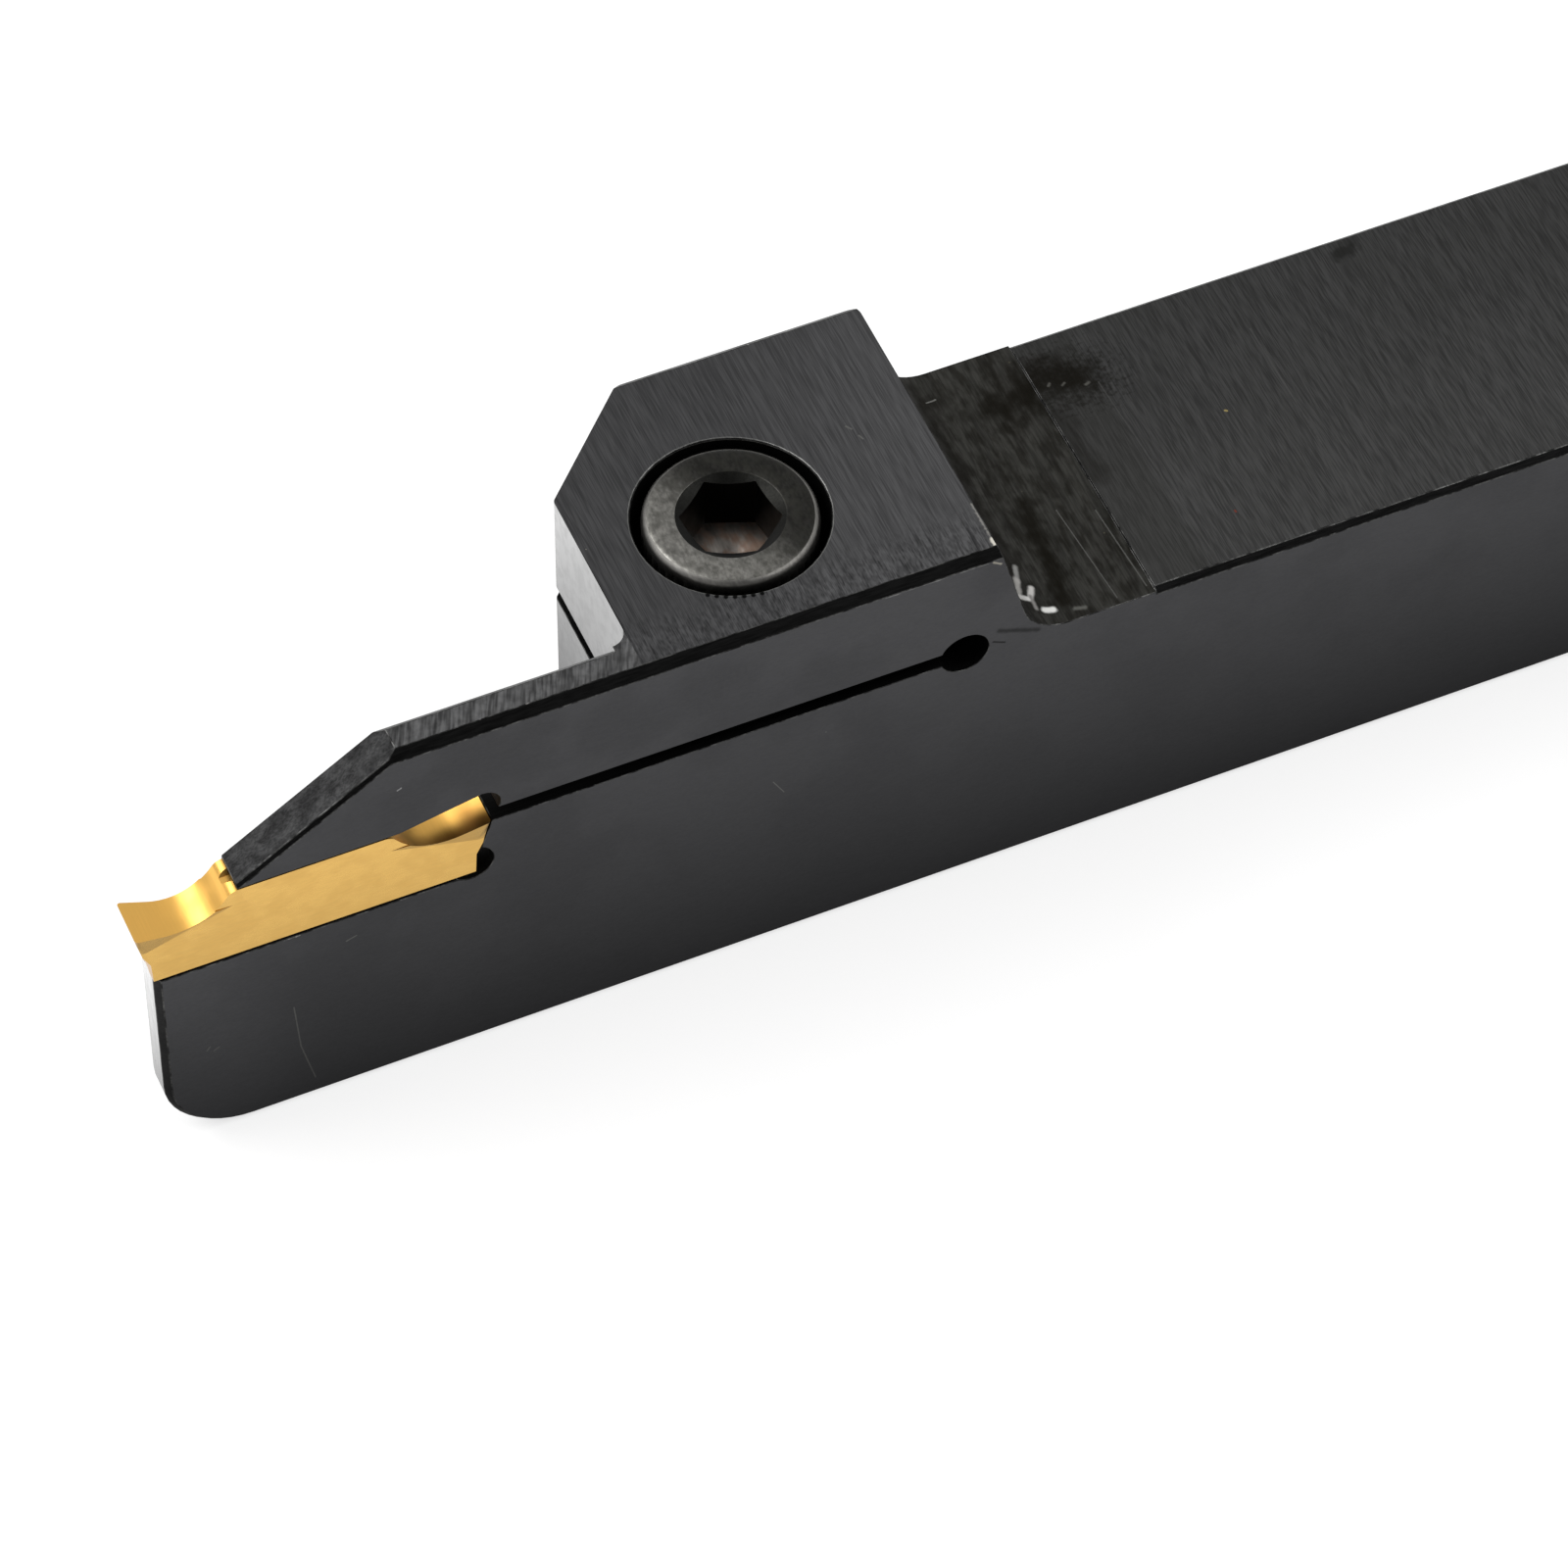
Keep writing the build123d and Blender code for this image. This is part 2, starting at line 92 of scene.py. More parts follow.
class NodeSheet:
    """Adds nodes to one tree and joins them."""

    def __init__(self, tree: bpy.types.NodeTree) -> None:
        """Start on a tree.

        Args:
            tree: The node tree to add to.
        """
        self.tree = tree

    def feed(self, socket: bpy.types.NodeSocket, value: object) -> None:
        """Join a socket to another one, or set its value.

        Args:
            socket: The socket to feed.
            value: Another socket, or a plain value.
        """
        if isinstance(value, bpy.types.NodeSocket):
            self.tree.links.new(value, socket)
        else:
            socket.default_value = value

    def add(self, kind: str, inputs: dict | None = None, **settings: object) -> bpy.types.Node:
        """Add one node.

        Args:
            kind: The node's type name.
            inputs: Values or sockets for its inputs, by name or number.
            **settings: The node's own options.

        Returns:
            The new node.
        """
        node = self.tree.nodes.new(kind)
        for name, value in settings.items():
            setattr(node, name, value)
        for socket, value in (inputs or {}).items():
            self.feed(node.inputs[socket], value)
        return node

    def math(self, operation: str, *values: object, clamp: bool = False) -> bpy.types.NodeSocket:
        """Return the result of a Math node on these values."""
        kind = "ShaderNodeMath"
        return self.add(kind, dict(enumerate(values)), operation=operation, use_clamp=clamp).outputs[0]

    def vector(self, operation: str, *values: object) -> bpy.types.NodeSocket:
        """Return the vector from a Vector Math node on these values."""
        return self.add("ShaderNodeVectorMath", dict(enumerate(values)), operation=operation).outputs[0]

    def measure(self, operation: str, first: object, second: object) -> bpy.types.NodeSocket:
        """Return the number that a Vector Math node finds from two vectors."""
        return self.add("ShaderNodeVectorMath", {0: first, 1: second}, operation=operation).outputs["Value"]

    def scaled(self, vector: object, factor: object) -> bpy.types.NodeSocket:
        """Return a vector, or a colour, times a number."""
        return self.add("ShaderNodeVectorMath", {0: vector, "Scale": factor}, operation="SCALE").outputs[0]

    def parts(self, vector: object) -> bpy.types.NodeOutputs:
        """Return the three numbers of a vector."""
        return self.add("ShaderNodeSeparateXYZ", {0: vector}).outputs

    def blend(self, factor: object, first: object, second: object) -> bpy.types.NodeSocket:
        """Mix two colours.

        Args:
            factor: How much of the second colour there is.
            first: The colour at 0.
            second: The colour at 1.

        Returns:
            The mixed colour.
        """
        node = self.add("ShaderNodeMix", data_type="RGBA", blend_type="MIX")
        for number, value in ((0, factor), (6, first), (7, second)):
            if number and isinstance(value, tuple):
                value = (*value, 1.0)
            self.feed(node.inputs[number], value)
        return node.outputs[2]

    def remap(self, value: object, old: tuple, new: tuple = (0.0, 1.0)) -> bpy.types.NodeSocket:
        """Move a value from one range to another, with soft ends.

        Args:
            value: The value.
            old: The two ends of its range, as numbers or sockets.
            new: What they become.

        Returns:
            The moved value.
        """
        names = ("Value", "From Min", "From Max", "To Min", "To Max")
        inputs = dict(zip(names, (value, *old, *new)))
        return self.add("ShaderNodeMapRange", inputs, interpolation_type="SMOOTHSTEP").outputs[0]

    def noise(self, position: object, scale: object, detail: float = 2.0) -> bpy.types.NodeSocket:
        """Return the value of a noise texture."""
        inputs = {"Vector": position, "Scale": scale, "Detail": detail}
        return self.add("ShaderNodeTexNoise", inputs).outputs[0]

    def use(self, group: bpy.types.NodeTree, inputs: dict) -> bpy.types.NodeSocket:
        """Place a node group.

        Args:
            group: The group.
            inputs: Values or sockets for its inputs, by name.

        Returns:
            Its first output.
        """
        kind = f"{self.tree.bl_idname.removesuffix('Tree')}Group"
        node = self.tree.nodes.new(kind)
        node.node_tree = group
        for socket, value in inputs.items():
            self.feed(node.inputs[socket], value)
        return node.outputs[0]


def open_group(name: str, inputs: dict[str, object], output: str) -> tuple:
    """Start a shader node group with named sockets.

    Args:
        name: The group's name.
        inputs: Default value of each input; a tuple makes a vector socket.
        output: Name of its one output, a value.

    Returns:
        The tree, a sheet to add nodes with, its inputs by name and its output socket.
    """
    tree = bpy.data.node_groups.new(name, "ShaderNodeTree")
    for label, value in inputs.items():
        kind = "NodeSocketVector" if isinstance(value, tuple) else "NodeSocketFloat"
        tree.interface.new_socket(name=label, in_out="INPUT", socket_type=kind).default_value = value
    tree.interface.new_socket(name=output, in_out="OUTPUT", socket_type="NodeSocketFloat")
    sheet = NodeSheet(tree)
    source = sheet.add("NodeGroupInput").outputs
    result = sheet.add("NodeGroupOutput").inputs[0]
    return tree, sheet, source, result


def cutter_lines() -> bpy.types.NodeTree:
    """Build the group for fine lines left by a cutter or a wheel; they run along local Y.

    Returns:
        The group.
    """
    inputs = {"Position": (0.0, 0.0, 0.0), "Spacing": 0.1, "Length": 6.0}
    broad_scale, fine_share, contrast = 0.31, 0.6, (0.25, 0.75)
    tree, sheet, source, result = open_group("Cutter lines", inputs, "Lines")
    across = sheet.math("DIVIDE", 1.0, source["Spacing"])
    along = sheet.math("DIVIDE", 1.0, source["Length"])
    rate = sheet.add("ShaderNodeCombineXYZ", {0: across, 1: along, 2: across}).outputs[0]
    place = sheet.vector("MULTIPLY", source["Position"], rate)
    fine = sheet.noise(place, 1.0, 1.0)
    broad = sheet.noise(place, broad_scale, 2.0)
    fine_part = sheet.math("MULTIPLY", fine, fine_share)
    broad_part = sheet.math("MULTIPLY", broad, 1.0 - fine_share)
    sheet.feed(result, sheet.remap(sheet.math("ADD", fine_part, broad_part), contrast))
    return tree


def mottle() -> bpy.types.NodeTree:
    """Build the group for soft blotches, of one size along each axis.

    Returns:
        The group.
    """
    inputs = {"Position": (0.0, 0.0, 0.0), "Sizes": (2.0, 2.0, 2.0)}
    contrast = (0.36, 0.66)
    tree, sheet, source, result = open_group("Mottle", inputs, "Blotches")
    place = sheet.vector("DIVIDE", source["Position"], source["Sizes"])
    sheet.feed(result, sheet.remap(sheet.noise(place, 1.0, 4.0), contrast))
    return tree


def specks() -> bpy.types.NodeTree:
    """Build the group for scattered tiny spots of grit or bare metal.

    Returns:
        The group.
    """
    inputs = {"Position": (0.0, 0.0, 0.0), "Spacing": 1.5, "Size": 0.05, "Share": 0.3}
    least_size, edge_sharpness = 0.5, 3.0
    tree, sheet, source, result = open_group("Specks", inputs, "Mask")
    place = sheet.vector("DIVIDE", source["Position"], source["Spacing"])
    cells = sheet.add("ShaderNodeTexVoronoi", {"Vector": place, "Scale": 1.0})
    draw = sheet.parts(cells.outputs["Color"])
    chosen = sheet.math("LESS_THAN", draw[0], source["Share"])
    reach = sheet.math("MULTIPLY", source["Size"], sheet.math("ADD", draw[1], least_size))
    spread = sheet.math("MULTIPLY", cells.outputs["Distance"], source["Spacing"])
    inside = sheet.math("SUBTRACT", 1.0, sheet.math("DIVIDE", spread, reach), clamp=True)
    soft = sheet.math("MULTIPLY", inside, edge_sharpness, clamp=True)
    sheet.feed(result, sheet.math("MULTIPLY", chosen, soft))
    return tree


def mark_mask() -> bpy.types.NodeTree:
    """Build the group for one mark between two points: a scratch, chip, stain, painted highlight or painted
    shade, full out to its core.

    Returns:
        The group.
    """
    ends = {"Position": (0.0,) * 3, "Start": (0.0,) * 3, "End": (1.0, 0.0, 0.0)}
    inputs = ends | {"Width": 0.05, "Rag": 0.3, "Grit": 6.0, "Core": 0.6}
    tree, sheet, source, result = open_group("Mark mask", inputs, "Mask")
    run = sheet.vector("SUBTRACT", source["End"], source["Start"])
    reach = sheet.vector("SUBTRACT", source["Position"], source["Start"])
    along = sheet.measure("DOT_PRODUCT", reach, run)
    share = sheet.math("DIVIDE", along, sheet.measure("DOT_PRODUCT", run, run), clamp=True)
    away = sheet.measure("DISTANCE", reach, sheet.scaled(run, share))
    ratio = sheet.math("DIVIDE", away, source["Width"])
    uneven = sheet.math("SUBTRACT", sheet.noise(source["Position"], source["Grit"], 3.0), 0.5)
    wander = sheet.math("MULTIPLY", sheet.math("MULTIPLY", uneven, 2.0), source["Rag"])
    ragged = sheet.math("ADD", ratio, wander)
    sheet.feed(result, sheet.remap(ragged, (source["Core"], 1.0), (1.0, 0.0)))
    return tree


def fade() -> bpy.types.NodeTree:
    """Build the group for a share that rises from 0 to 1 between two points.

    Returns:
        The group.
    """
    inputs = {"Position": (0.0,) * 3, "Start": (0.0,) * 3, "End": (1.0, 0.0, 0.0)}
    tree, sheet, source, result = open_group("Fade", inputs, "Share")
    run = sheet.vector("SUBTRACT", source["End"], source["Start"])
    reach = sheet.vector("SUBTRACT", source["Position"], source["Start"])
    along = sheet.measure("DOT_PRODUCT", reach, run)
    share = sheet.math("DIVIDE", along, sheet.measure("DOT_PRODUCT", run, run))
    sheet.feed(result, sheet.remap(share, (0.0, 1.0)))
    return tree


@dataclass(frozen=True)
class ShadeGroups:
    """The shader node groups that the finishes share."""

    lines: bpy.types.NodeTree
    mottle: bpy.types.NodeTree
    specks: bpy.types.NodeTree
    mark_mask: bpy.types.NodeTree
    fade: bpy.types.NodeTree

    @classmethod
    def build(cls) -> "ShadeGroups":
        """Build every group once."""
        return cls(cutter_lines(), mottle(), specks(), mark_mask(), fade())


# ------------------------------------------------------------------ finishes


@dataclass(frozen=True)
class Mark:
    """A scratch, chip, stain, painted highlight or painted shade on a finish, between two points in
    millimetres.

    The width is half of what it covers, rag is how far its edge wanders, grit how
    finely, core how much of it is at full strength, and share how strong that is.
    """

    start: Point
    end: Point
    width: float
    colour: Colour
    rag: float = 0.3
    grit: float = 6.0
    core: float = 0.6
    share: float = 1.0


@dataclass(frozen=True)
class Drift:
    """A slow change of tone between two points in millimetres, from 1 to the tone at its end."""

    start: Point
    end: Point
    tone: float


@dataclass(frozen=True)
class MetalFinish:
    """A machined metal surface: tone, gloss, cutter lines, blotches, grit and marks."""

    name: str
    colour: Colour
    roughness: float
    grain: Grain = Grain.ACROSS
    line_spacing: float = 0.09
    line_length: float = 3.0
    line_tone: float = 0.2
    line_height: float = 0.001
    cross_band: tuple[float, float] | None = None
    cross_tone: float = 0.35
    blotch_sizes: Point = (3.0, 3.0, 3.0)
    blotch_tone: float = 0.15
    blotch_colour: Colour = (0.0, 0.0, 0.0)
    speck_share: float = 0.05
    speck_size: float = 0.05
    speck_colour: Colour = (0.3, 0.28, 0.24)
    coat: float = 0.0
    coat_roughness: float = 0.2
    bump: float = 0.6
    cross_spacing: float = 2.2
    cross_length: float = 0.45
    roughness_spread: tuple[float, float] = (-0.04, 0.06)
    drift: Drift | None = None
    marks: tuple[Mark, ...] = ()

    def tones(
        self, sheet: NodeSheet, groups: ShadeGroups, place: object, lines: object
    ) -> bpy.types.NodeSocket:
        """Find how much lighter or darker the cutter lines and the drift make each point.

        Args:
            sheet: The material's nodes.
            groups: The shared shader groups.
            place: The point, in millimetres.
            lines: The cutter lines there.

        Returns:
            The factor on the finish's colour.
        """
        tone = sheet.remap(lines, (0.0, 1.0), (1.0 - self.line_tone, 1.0 + self.line_tone))
        if self.cross_band:
            spacing = self.cross_spacing * self.line_spacing
            inputs = {"Position": place, "Spacing": spacing, "Length": self.cross_length}
            swing = (-self.cross_tone, self.cross_tone)
            crossing = sheet.remap(sheet.use(groups.lines, inputs), (0.0, 1.0), swing)
            share = sheet.remap(sheet.parts(place)[1], self.cross_band, (1.0, 0.0))
            tone = sheet.math("ADD", tone, sheet.math("MULTIPLY", crossing, share))
        if self.drift:
            inputs = {"Position": place, "Start": self.drift.start, "End": self.drift.end}
            share = sheet.use(groups.fade, inputs)
            tone = sheet.math("MULTIPLY", tone, sheet.remap(share, (0.0, 1.0), (1.0, self.drift.tone)))
        return tone

    def material(self, groups: ShadeGroups) -> bpy.types.Material:
        """Build the material.

        Args:
            groups: The shared shader groups.

        Returns:
            A material that reads Object coordinates.
        """
        made = bpy.data.materials.new(self.name)
        made.use_nodes = True
        sheet = NodeSheet(made.node_tree)
        shader = made.node_tree.nodes["Principled BSDF"]
        object_place = sheet.add("ShaderNodeTexCoord").outputs["Object"]
        place = sheet.vector("MULTIPLY", object_place, (1 / MM,) * 3)
        turn = tuple(math.radians(angle) for angle in self.grain.value)
        turned = sheet.add("ShaderNodeMapping", {"Vector": place, "Rotation": turn}).outputs[0]
        inputs = {"Position": turned, "Spacing": self.line_spacing, "Length": self.line_length}
        lines = sheet.use(groups.lines, inputs)
        blotches = sheet.use(groups.mottle, {"Position": place, "Sizes": self.blotch_sizes})
        tone = self.tones(sheet, groups, place, lines)
        colour = sheet.scaled(self.colour, tone)
        share = sheet.math("MULTIPLY", blotches, self.blotch_tone)
        colour = sheet.blend(share, colour, self.blotch_colour)
        inputs = {"Position": place, "Size": self.speck_size, "Share": self.speck_share}
        colour = sheet.blend(sheet.use(groups.specks, inputs), colour, self.speck_colour)
        for mark in self.marks:
            inputs = {"Position": place, "Start": mark.start, "End": mark.end, "Width": mark.width}
            mask = sheet.use(groups.mark_mask, inputs | {"Rag": mark.rag, "Grit": mark.grit, "Core": mark.core})
            colour = sheet.blend(sheet.math("MULTIPLY", mask, mark.share), colour, mark.colour)
        spread = tuple(self.roughness + change for change in self.roughness_spread)
        rough = sheet.remap(blotches, (0.0, 1.0), spread)
        bump = {"Height": lines, "Strength": self.bump, "Distance": self.line_height * MM}
        sheet.feed(shader.inputs["Base Color"], colour)
        sheet.feed(shader.inputs["Roughness"], rough)
        sheet.feed(shader.inputs["Normal"], sheet.add("ShaderNodeBump", bump).outputs[0])
        shader.inputs["Metallic"].default_value = 1.0
        shader.inputs["Coat Weight"].default_value = self.coat
        shader.inputs["Coat Roughness"].default_value = self.coat_roughness
        return made


BARE: Colour = (0.55, 0.54, 0.52)
SMUT: Colour = (0.007, 0.006, 0.004)
SCRATCH: Colour = (0.12, 0.12, 0.115)
# Painted shade: the black of the knurl's shadowed grooves, painted on the counterbore's rim.
SHADE_BLACK: Colour = (0.004, 0.004, 0.004)


def rim_teeth(
    centre: tuple[float, float], level: float, radius: float, degrees: Sequence[float]
) -> tuple[Mark, ...]:
    """Return painted shade on the rim of the counterbore: dark teeth where the knurled head's shadowed
    grooves show past it.

    Args:
        centre: The counterbore's axis in millimetres.
        level: Height of the rim.
        radius: Radius of the rim.
        degrees: Where each tooth of painted shade is, round the axis.

    Returns:
        One mark for each tooth of painted shade.
    """
    size = 0.17
    shade_teeth = []
    for angle in map(math.radians, degrees):
        inner, outer = (
            (centre[0] + reach * math.cos(angle), centre[1] + reach * math.sin(angle), level)
            for reach in (radius, radius + size)
        )
        shade_teeth.append(Mark(inner, outer, size, SHADE_BLACK, 0.05, 1.0, 0.5))
    return tuple(shade_teeth)


# Painted shade: where the shadowed knurl teeth show at the near side of the counterbore's rim.
SHADE_TOOTH_DEGREES = (-126.0, -121.0, -116.0, -111.0, -106.0, -101.0, -96.0)
RIM_KNURL_SHADE = rim_teeth(SCREW_AXIS_MM, HEAD_LEVEL_MM, 5.62, SHADE_TOOTH_DEGREES)
SIDE = MetalFinish(
    "smooth blackened side", (0.058, 0.058, 0.061), 0.34, Grain.ALONG, 0.07, 0.25, 0.06, 0.0003,
    blotch_sizes=(6.0, 6.0, 6.0), blotch_tone=0.06, speck_share=0.06, speck_colour=(0.16, 0.16, 0.155),
    # Painted reflection: the side face grows lighter towards the blade's front end.
    drift=Drift((-39.0, 0.0, 0.0), (-49.0, 0.0, 0.0), 1.28),
    marks=(
        Mark((-42.84, -10, 8.86), (-42.6, -10, 5.0), 0.05, SCRATCH, 0.6),
        Mark((-42.6, -10, 5.0), (-41.89, -10, 1.61), 0.05, SCRATCH, 0.7),
        Mark((-48.1, -10, 7.6), (-47.9, -10, 7.9), 0.06, SCRATCH, 0.5),
        Mark((-47.7, -10, 7.4), (-47.4, -10, 7.6), 0.06, SCRATCH, 0.5),
        Mark((-13.68, -10, 14.43), (-13.01, -10, 13.18), 0.04, SCRATCH, 0.6),
        Mark((-39.5, -10, 13.3), (-38.9, -10, 13.5), 0.06, SCRATCH, 0.8),
        Mark((-36.0, -10, 25.2), (-35.8, -10, 25.3), 0.07, (0.25, 0.25, 0.25), 0.5),
        Mark((-43.1, -10, 15.36), (-42.2, -10, 15.33), 0.09, BARE, 0.9),
        Mark((0.1, -10, 21.2), (2.5, -10, 20.1), 0.3, (0.012, 0.012, 0.012), 0.4, 2.0, 0.0, 0.85),
        # Painted highlight: a glint at the jaw's tip.
        Mark((-45.35, -10, 21.9), (-45.2, -10, 21.8), 0.12, (0.6, 0.6, 0.58), 0.4),
        # Painted edge highlight, partly wear: light dashes along the lower edge of the head's near chamfer.
        Mark((-7.0, -10, 27.6), (-0.8, -10, 27.6), 0.09, (0.22, 0.22, 0.215), 1.5, 2.2, 0.1, 0.8),
        # Painted highlight: a glint at the rear near corner of the head.
        Mark((-0.46, -10, 27.5), (0.0, -10, 27.15), 0.12, (0.3, 0.28, 0.24), 0.5, 3.0, 0.1),
        Mark((-0.24, -10, 20.36), (0.44, -10, 20.0), 0.12, (0.015, 0.015, 0.015), 0.5, 2.0, 0.3),
    ),
)
HEAD_TOP = MetalFinish(
    "ground blackened head top", (0.060, 0.060, 0.0615), 0.4, Grain.ACROSS, 0.06, 2.2, 0.3,
    cross_band=(-8.6, -5.2), blotch_tone=0.1, speck_share=0.03,
    drift=Drift((-19.0, 0.0, 28.2), (0.0, -9.0, 28.2), 1.32),
    marks=(
        Mark((-4.2, 1.7, 28.2), (-4.0, 1.4, 28.2), 0.07, SCRATCH, 0.5),
        Mark((-3.8, 0.8, 28.2), (-3.7, 0.5, 28.2), 0.06, SCRATCH, 0.5),
        # Painted highlight: a glint at the rear near corner of the head's top.
        Mark((-0.1, -9.4, 28.2), (-0.1, -8.95, 28.2), 0.2, (0.75, 0.72, 0.64), 0.4, 4.0, 0.3),
        Mark((-0.12, -8.8, 28.2), (-0.1, -6.2, 28.2), 0.1, (0.3, 0.29, 0.27), 1.1, 5.0, 0.1, 0.7),
        *RIM_KNURL_SHADE,
    ),
)
BLADE_TOP = MetalFinish(
    "milled blade top", (0.106, 0.106, 0.107), 0.4, Grain.SLANTING, 0.16, 1.4, 0.5, 0.002,
    blotch_sizes=(0.6, 0.6, 0.6), blotch_tone=0.35,
)
SHANK_TOP = MetalFinish(
    "ground blackened shank top", (0.056, 0.056, 0.0555), 0.42, Grain.ACROSS, 0.06, 1.3, 0.32,
    blotch_sizes=(5.0, 8.0, 5.0), blotch_tone=0.18, blotch_colour=(0.02, 0.02, 0.018), speck_share=0.03,
    drift=Drift((12.0, -9.0, 20.0), (12.0, 9.0, 20.0), 0.82),
    marks=(
        Mark((11.0, 14.0, 20), (11.1, -14.0, 20), 2.8, (0.03, 0.03, 0.027), 0.05, 0.8, 0.7, 0.35),
        Mark((9.2, 7.3, 20), (12.3, 6.3, 20), 2.2, SMUT, 0.9, 0.9, 0.1, 0.8),
        Mark((9.0, 6.6, 20), (12.6, 5.9, 20), 2.9, SMUT, 1.6, 3.5, 0.0, 0.55),
        Mark((10.0, 4.0, 20), (10.4, -1.0, 20), 1.3, SMUT, 1.1, 0.7, 0.0, 0.4),
        Mark((10.67, 6.2, 20), (10.8, 6.3, 20), 0.14, (0.08, 0.078, 0.07), 0.7, 5.0, 0.1),
        Mark((11.4, 5.9, 20), (11.6, 6.0, 20), 0.12, (0.08, 0.078, 0.07), 0.7, 5.0, 0.1),
        Mark((12.7, 5.4, 20), (12.9, 5.5, 20), 0.16, (0.09, 0.088, 0.08), 0.7, 5.0, 0.1),
        Mark((23.26, 5.5, 20), (23.2, -9.1, 20), 0.06, (0.085, 0.085, 0.083), 0.7, 3.0, 0.3, 0.5),
        Mark((21.95, 4.7, 20), (21.8, -7.1, 20), 0.05, (0.08, 0.08, 0.078), 0.7, 3.0, 0.3, 0.4),
        Mark((19.21, 0.46, 20), (19.3, 0.4, 20), 0.09, (0.3, 0.24, 0.1), 0.3),
        Mark((16.48, -6.49, 20), (16.5, -6.6, 20), 0.07, (0.16, 0.04, 0.03), 0.3),
        Mark((30.5, 8.6, 20), (31.5, 8.9, 20), 0.8, (0.016, 0.016, 0.015), 0.7, 1.4, 0.2, 0.8),
        Mark((13.45, 5.3, 20), (14.0, -8.5, 20), 0.06, (0.075, 0.075, 0.073), 0.6, 3.0, 0.4, 0.6),
    ),
)
RUNOUT = MetalFinish(
    "burnt runout", (0.037, 0.0365, 0.033), 0.5, Grain.ACROSS, 0.1, 1.6, 0.3, 0.002,
    blotch_sizes=(0.45, 1.2, 0.7), blotch_tone=0.6, blotch_colour=SMUT, speck_share=0.35, speck_size=0.07,
    speck_colour=(0.07, 0.066, 0.05),
    marks=(
        Mark((10.5, 7.2, 19.85), (7.9, 5.9, 19.85), 2.4, SMUT, 1.0, 0.9, 0.0, 0.85),
        Mark((5.7, -1.2, 19.85), (4.9, -8.6, 19.85), 0.9, SMUT, 0.7, 1.2, 0.0, 0.8),
        Mark((3.4, 9.0, 20.1), (2.9, -8.0, 20.3), 0.9, SMUT, 0.5, 1.1, 0.0, 0.7),
        Mark((7.22, -2.33, 19.85), (7.67, -9.48, 19.85), 0.045, (0.09, 0.09, 0.085), 0.5),
        Mark((9.27, -3.22, 19.85), (9.56, -9.36, 19.85), 0.05, (0.09, 0.09, 0.085), 0.5),
        Mark((3.7, 7.8, 20.0), (4.3, 7.9, 19.86), 0.07, (0.16, 0.16, 0.15), 0.5),
        # Painted highlight: the bright hook of a glint along the concave fillet at the near end of the rear
        # wall.
        Mark((3.2, -5.4, 20.16), (2.78, -6.6, 20.42), 0.26, (0.3, 0.3, 0.29), 0.25, 3.0, 0.2),
        Mark((2.78, -6.5, 20.42), (2.3, -7.9, 20.86), 0.38, (0.5, 0.49, 0.47), 0.25, 3.0, 0.2),
        Mark((2.3, -8.0, 20.86), (2.9, -7.95, 20.34), 0.3, (0.8, 0.79, 0.77), 0.25, 3.0, 0.3),
        Mark((3.42, -7.1, 20.06), (3.07, -7.75, 20.23), 0.3, (0.6, 0.59, 0.57), 0.25, 3.0, 0.2),
        Mark((3.07, -7.75, 20.23), (3.0, -8.7, 20.27), 0.24, (0.3, 0.29, 0.28), 0.3, 3.0, 0.1),
        Mark((3.46, -8.83, 20.05), (3.97, -8.88, 19.91), 0.32, (0.8, 0.8, 0.78), 0.3, 3.0, 0.3),
        Mark((5.16, -9.24, 19.85), (5.68, -9.4, 19.85), 0.22, (0.12, 0.12, 0.11), 0.4, 3.0, 0.0),
    ),
)
STEP = MetalFinish("runout step", (0.11, 0.11, 0.107), 0.8, Grain.ALONG, 0.1, 1.0, 0.3)
# Painted shade: the chamfers take a much darker copy of the blackened steel, for the dark they reflect.
BEVEL = MetalFinish("blackened bevel, painted shade", (0.014, 0.014, 0.014), 0.42, Grain.ALONG, 0.1, 1.0, 0.3)
# Milled finish with painted reflection: a lighter colour, growing much lighter towards the toe, stands in
# for the grazing reflection.
MILLED_FRONT_SHEEN = MetalFinish(
    "milled front with painted reflection", (0.14, 0.14, 0.14), 0.36, Grain.UPRIGHT, 0.12, 2.0, 0.14, blotch_tone=0.12,
    blotch_sizes=(0.8, 0.8, 0.8), speck_share=0.22, speck_size=0.09, speck_colour=(0.03, 0.03, 0.03),
    coat=1.0, drift=Drift((-40.0, 0.0, 0.0), (-50.0, 0.0, 0.0), 4.3),
)
# Painted shade: the steel inside the pocket, slit, holes and thread is made near black for the shadow in
# them.
INSIDE_SHADE = MetalFinish("pocket and slit, painted shade", (0.009, 0.009, 0.009), 0.6, Grain.ALONG, 0.1, 4.0, 0.3)
RAMP = MetalFinish(
    "milled ramp", (0.041, 0.041, 0.0415), 0.42, Grain.ALONG, 0.1, 1.2, 0.35,
    blotch_sizes=(1.1, 0.8, 1.1), blotch_tone=0.45,
    speck_share=0.2, speck_size=0.07, speck_colour=(0.09, 0.09, 0.09),
    marks=(Mark((-38.95, -9.0, 26.9), (-38.8, -9.1, 27.0), 0.1, (0.5, 0.25, 0.1), 0.4),),
)
WORN_EDGE = MetalFinish(
    "worn edge", (0.09, 0.09, 0.088), 0.35, Grain.ACROSS, 0.2, 1.0, 0.4, 0.001,
    blotch_sizes=(0.7, 0.7, 0.7), blotch_tone=0.9, blotch_colour=(0.01, 0.01, 0.01),
    speck_share=0.5, speck_size=0.12, speck_colour=(0.3, 0.29, 0.28),
    drift=Drift((0.0, -9.2, 0.0), (0.0, -5.0, 0.0), 0.55),
)
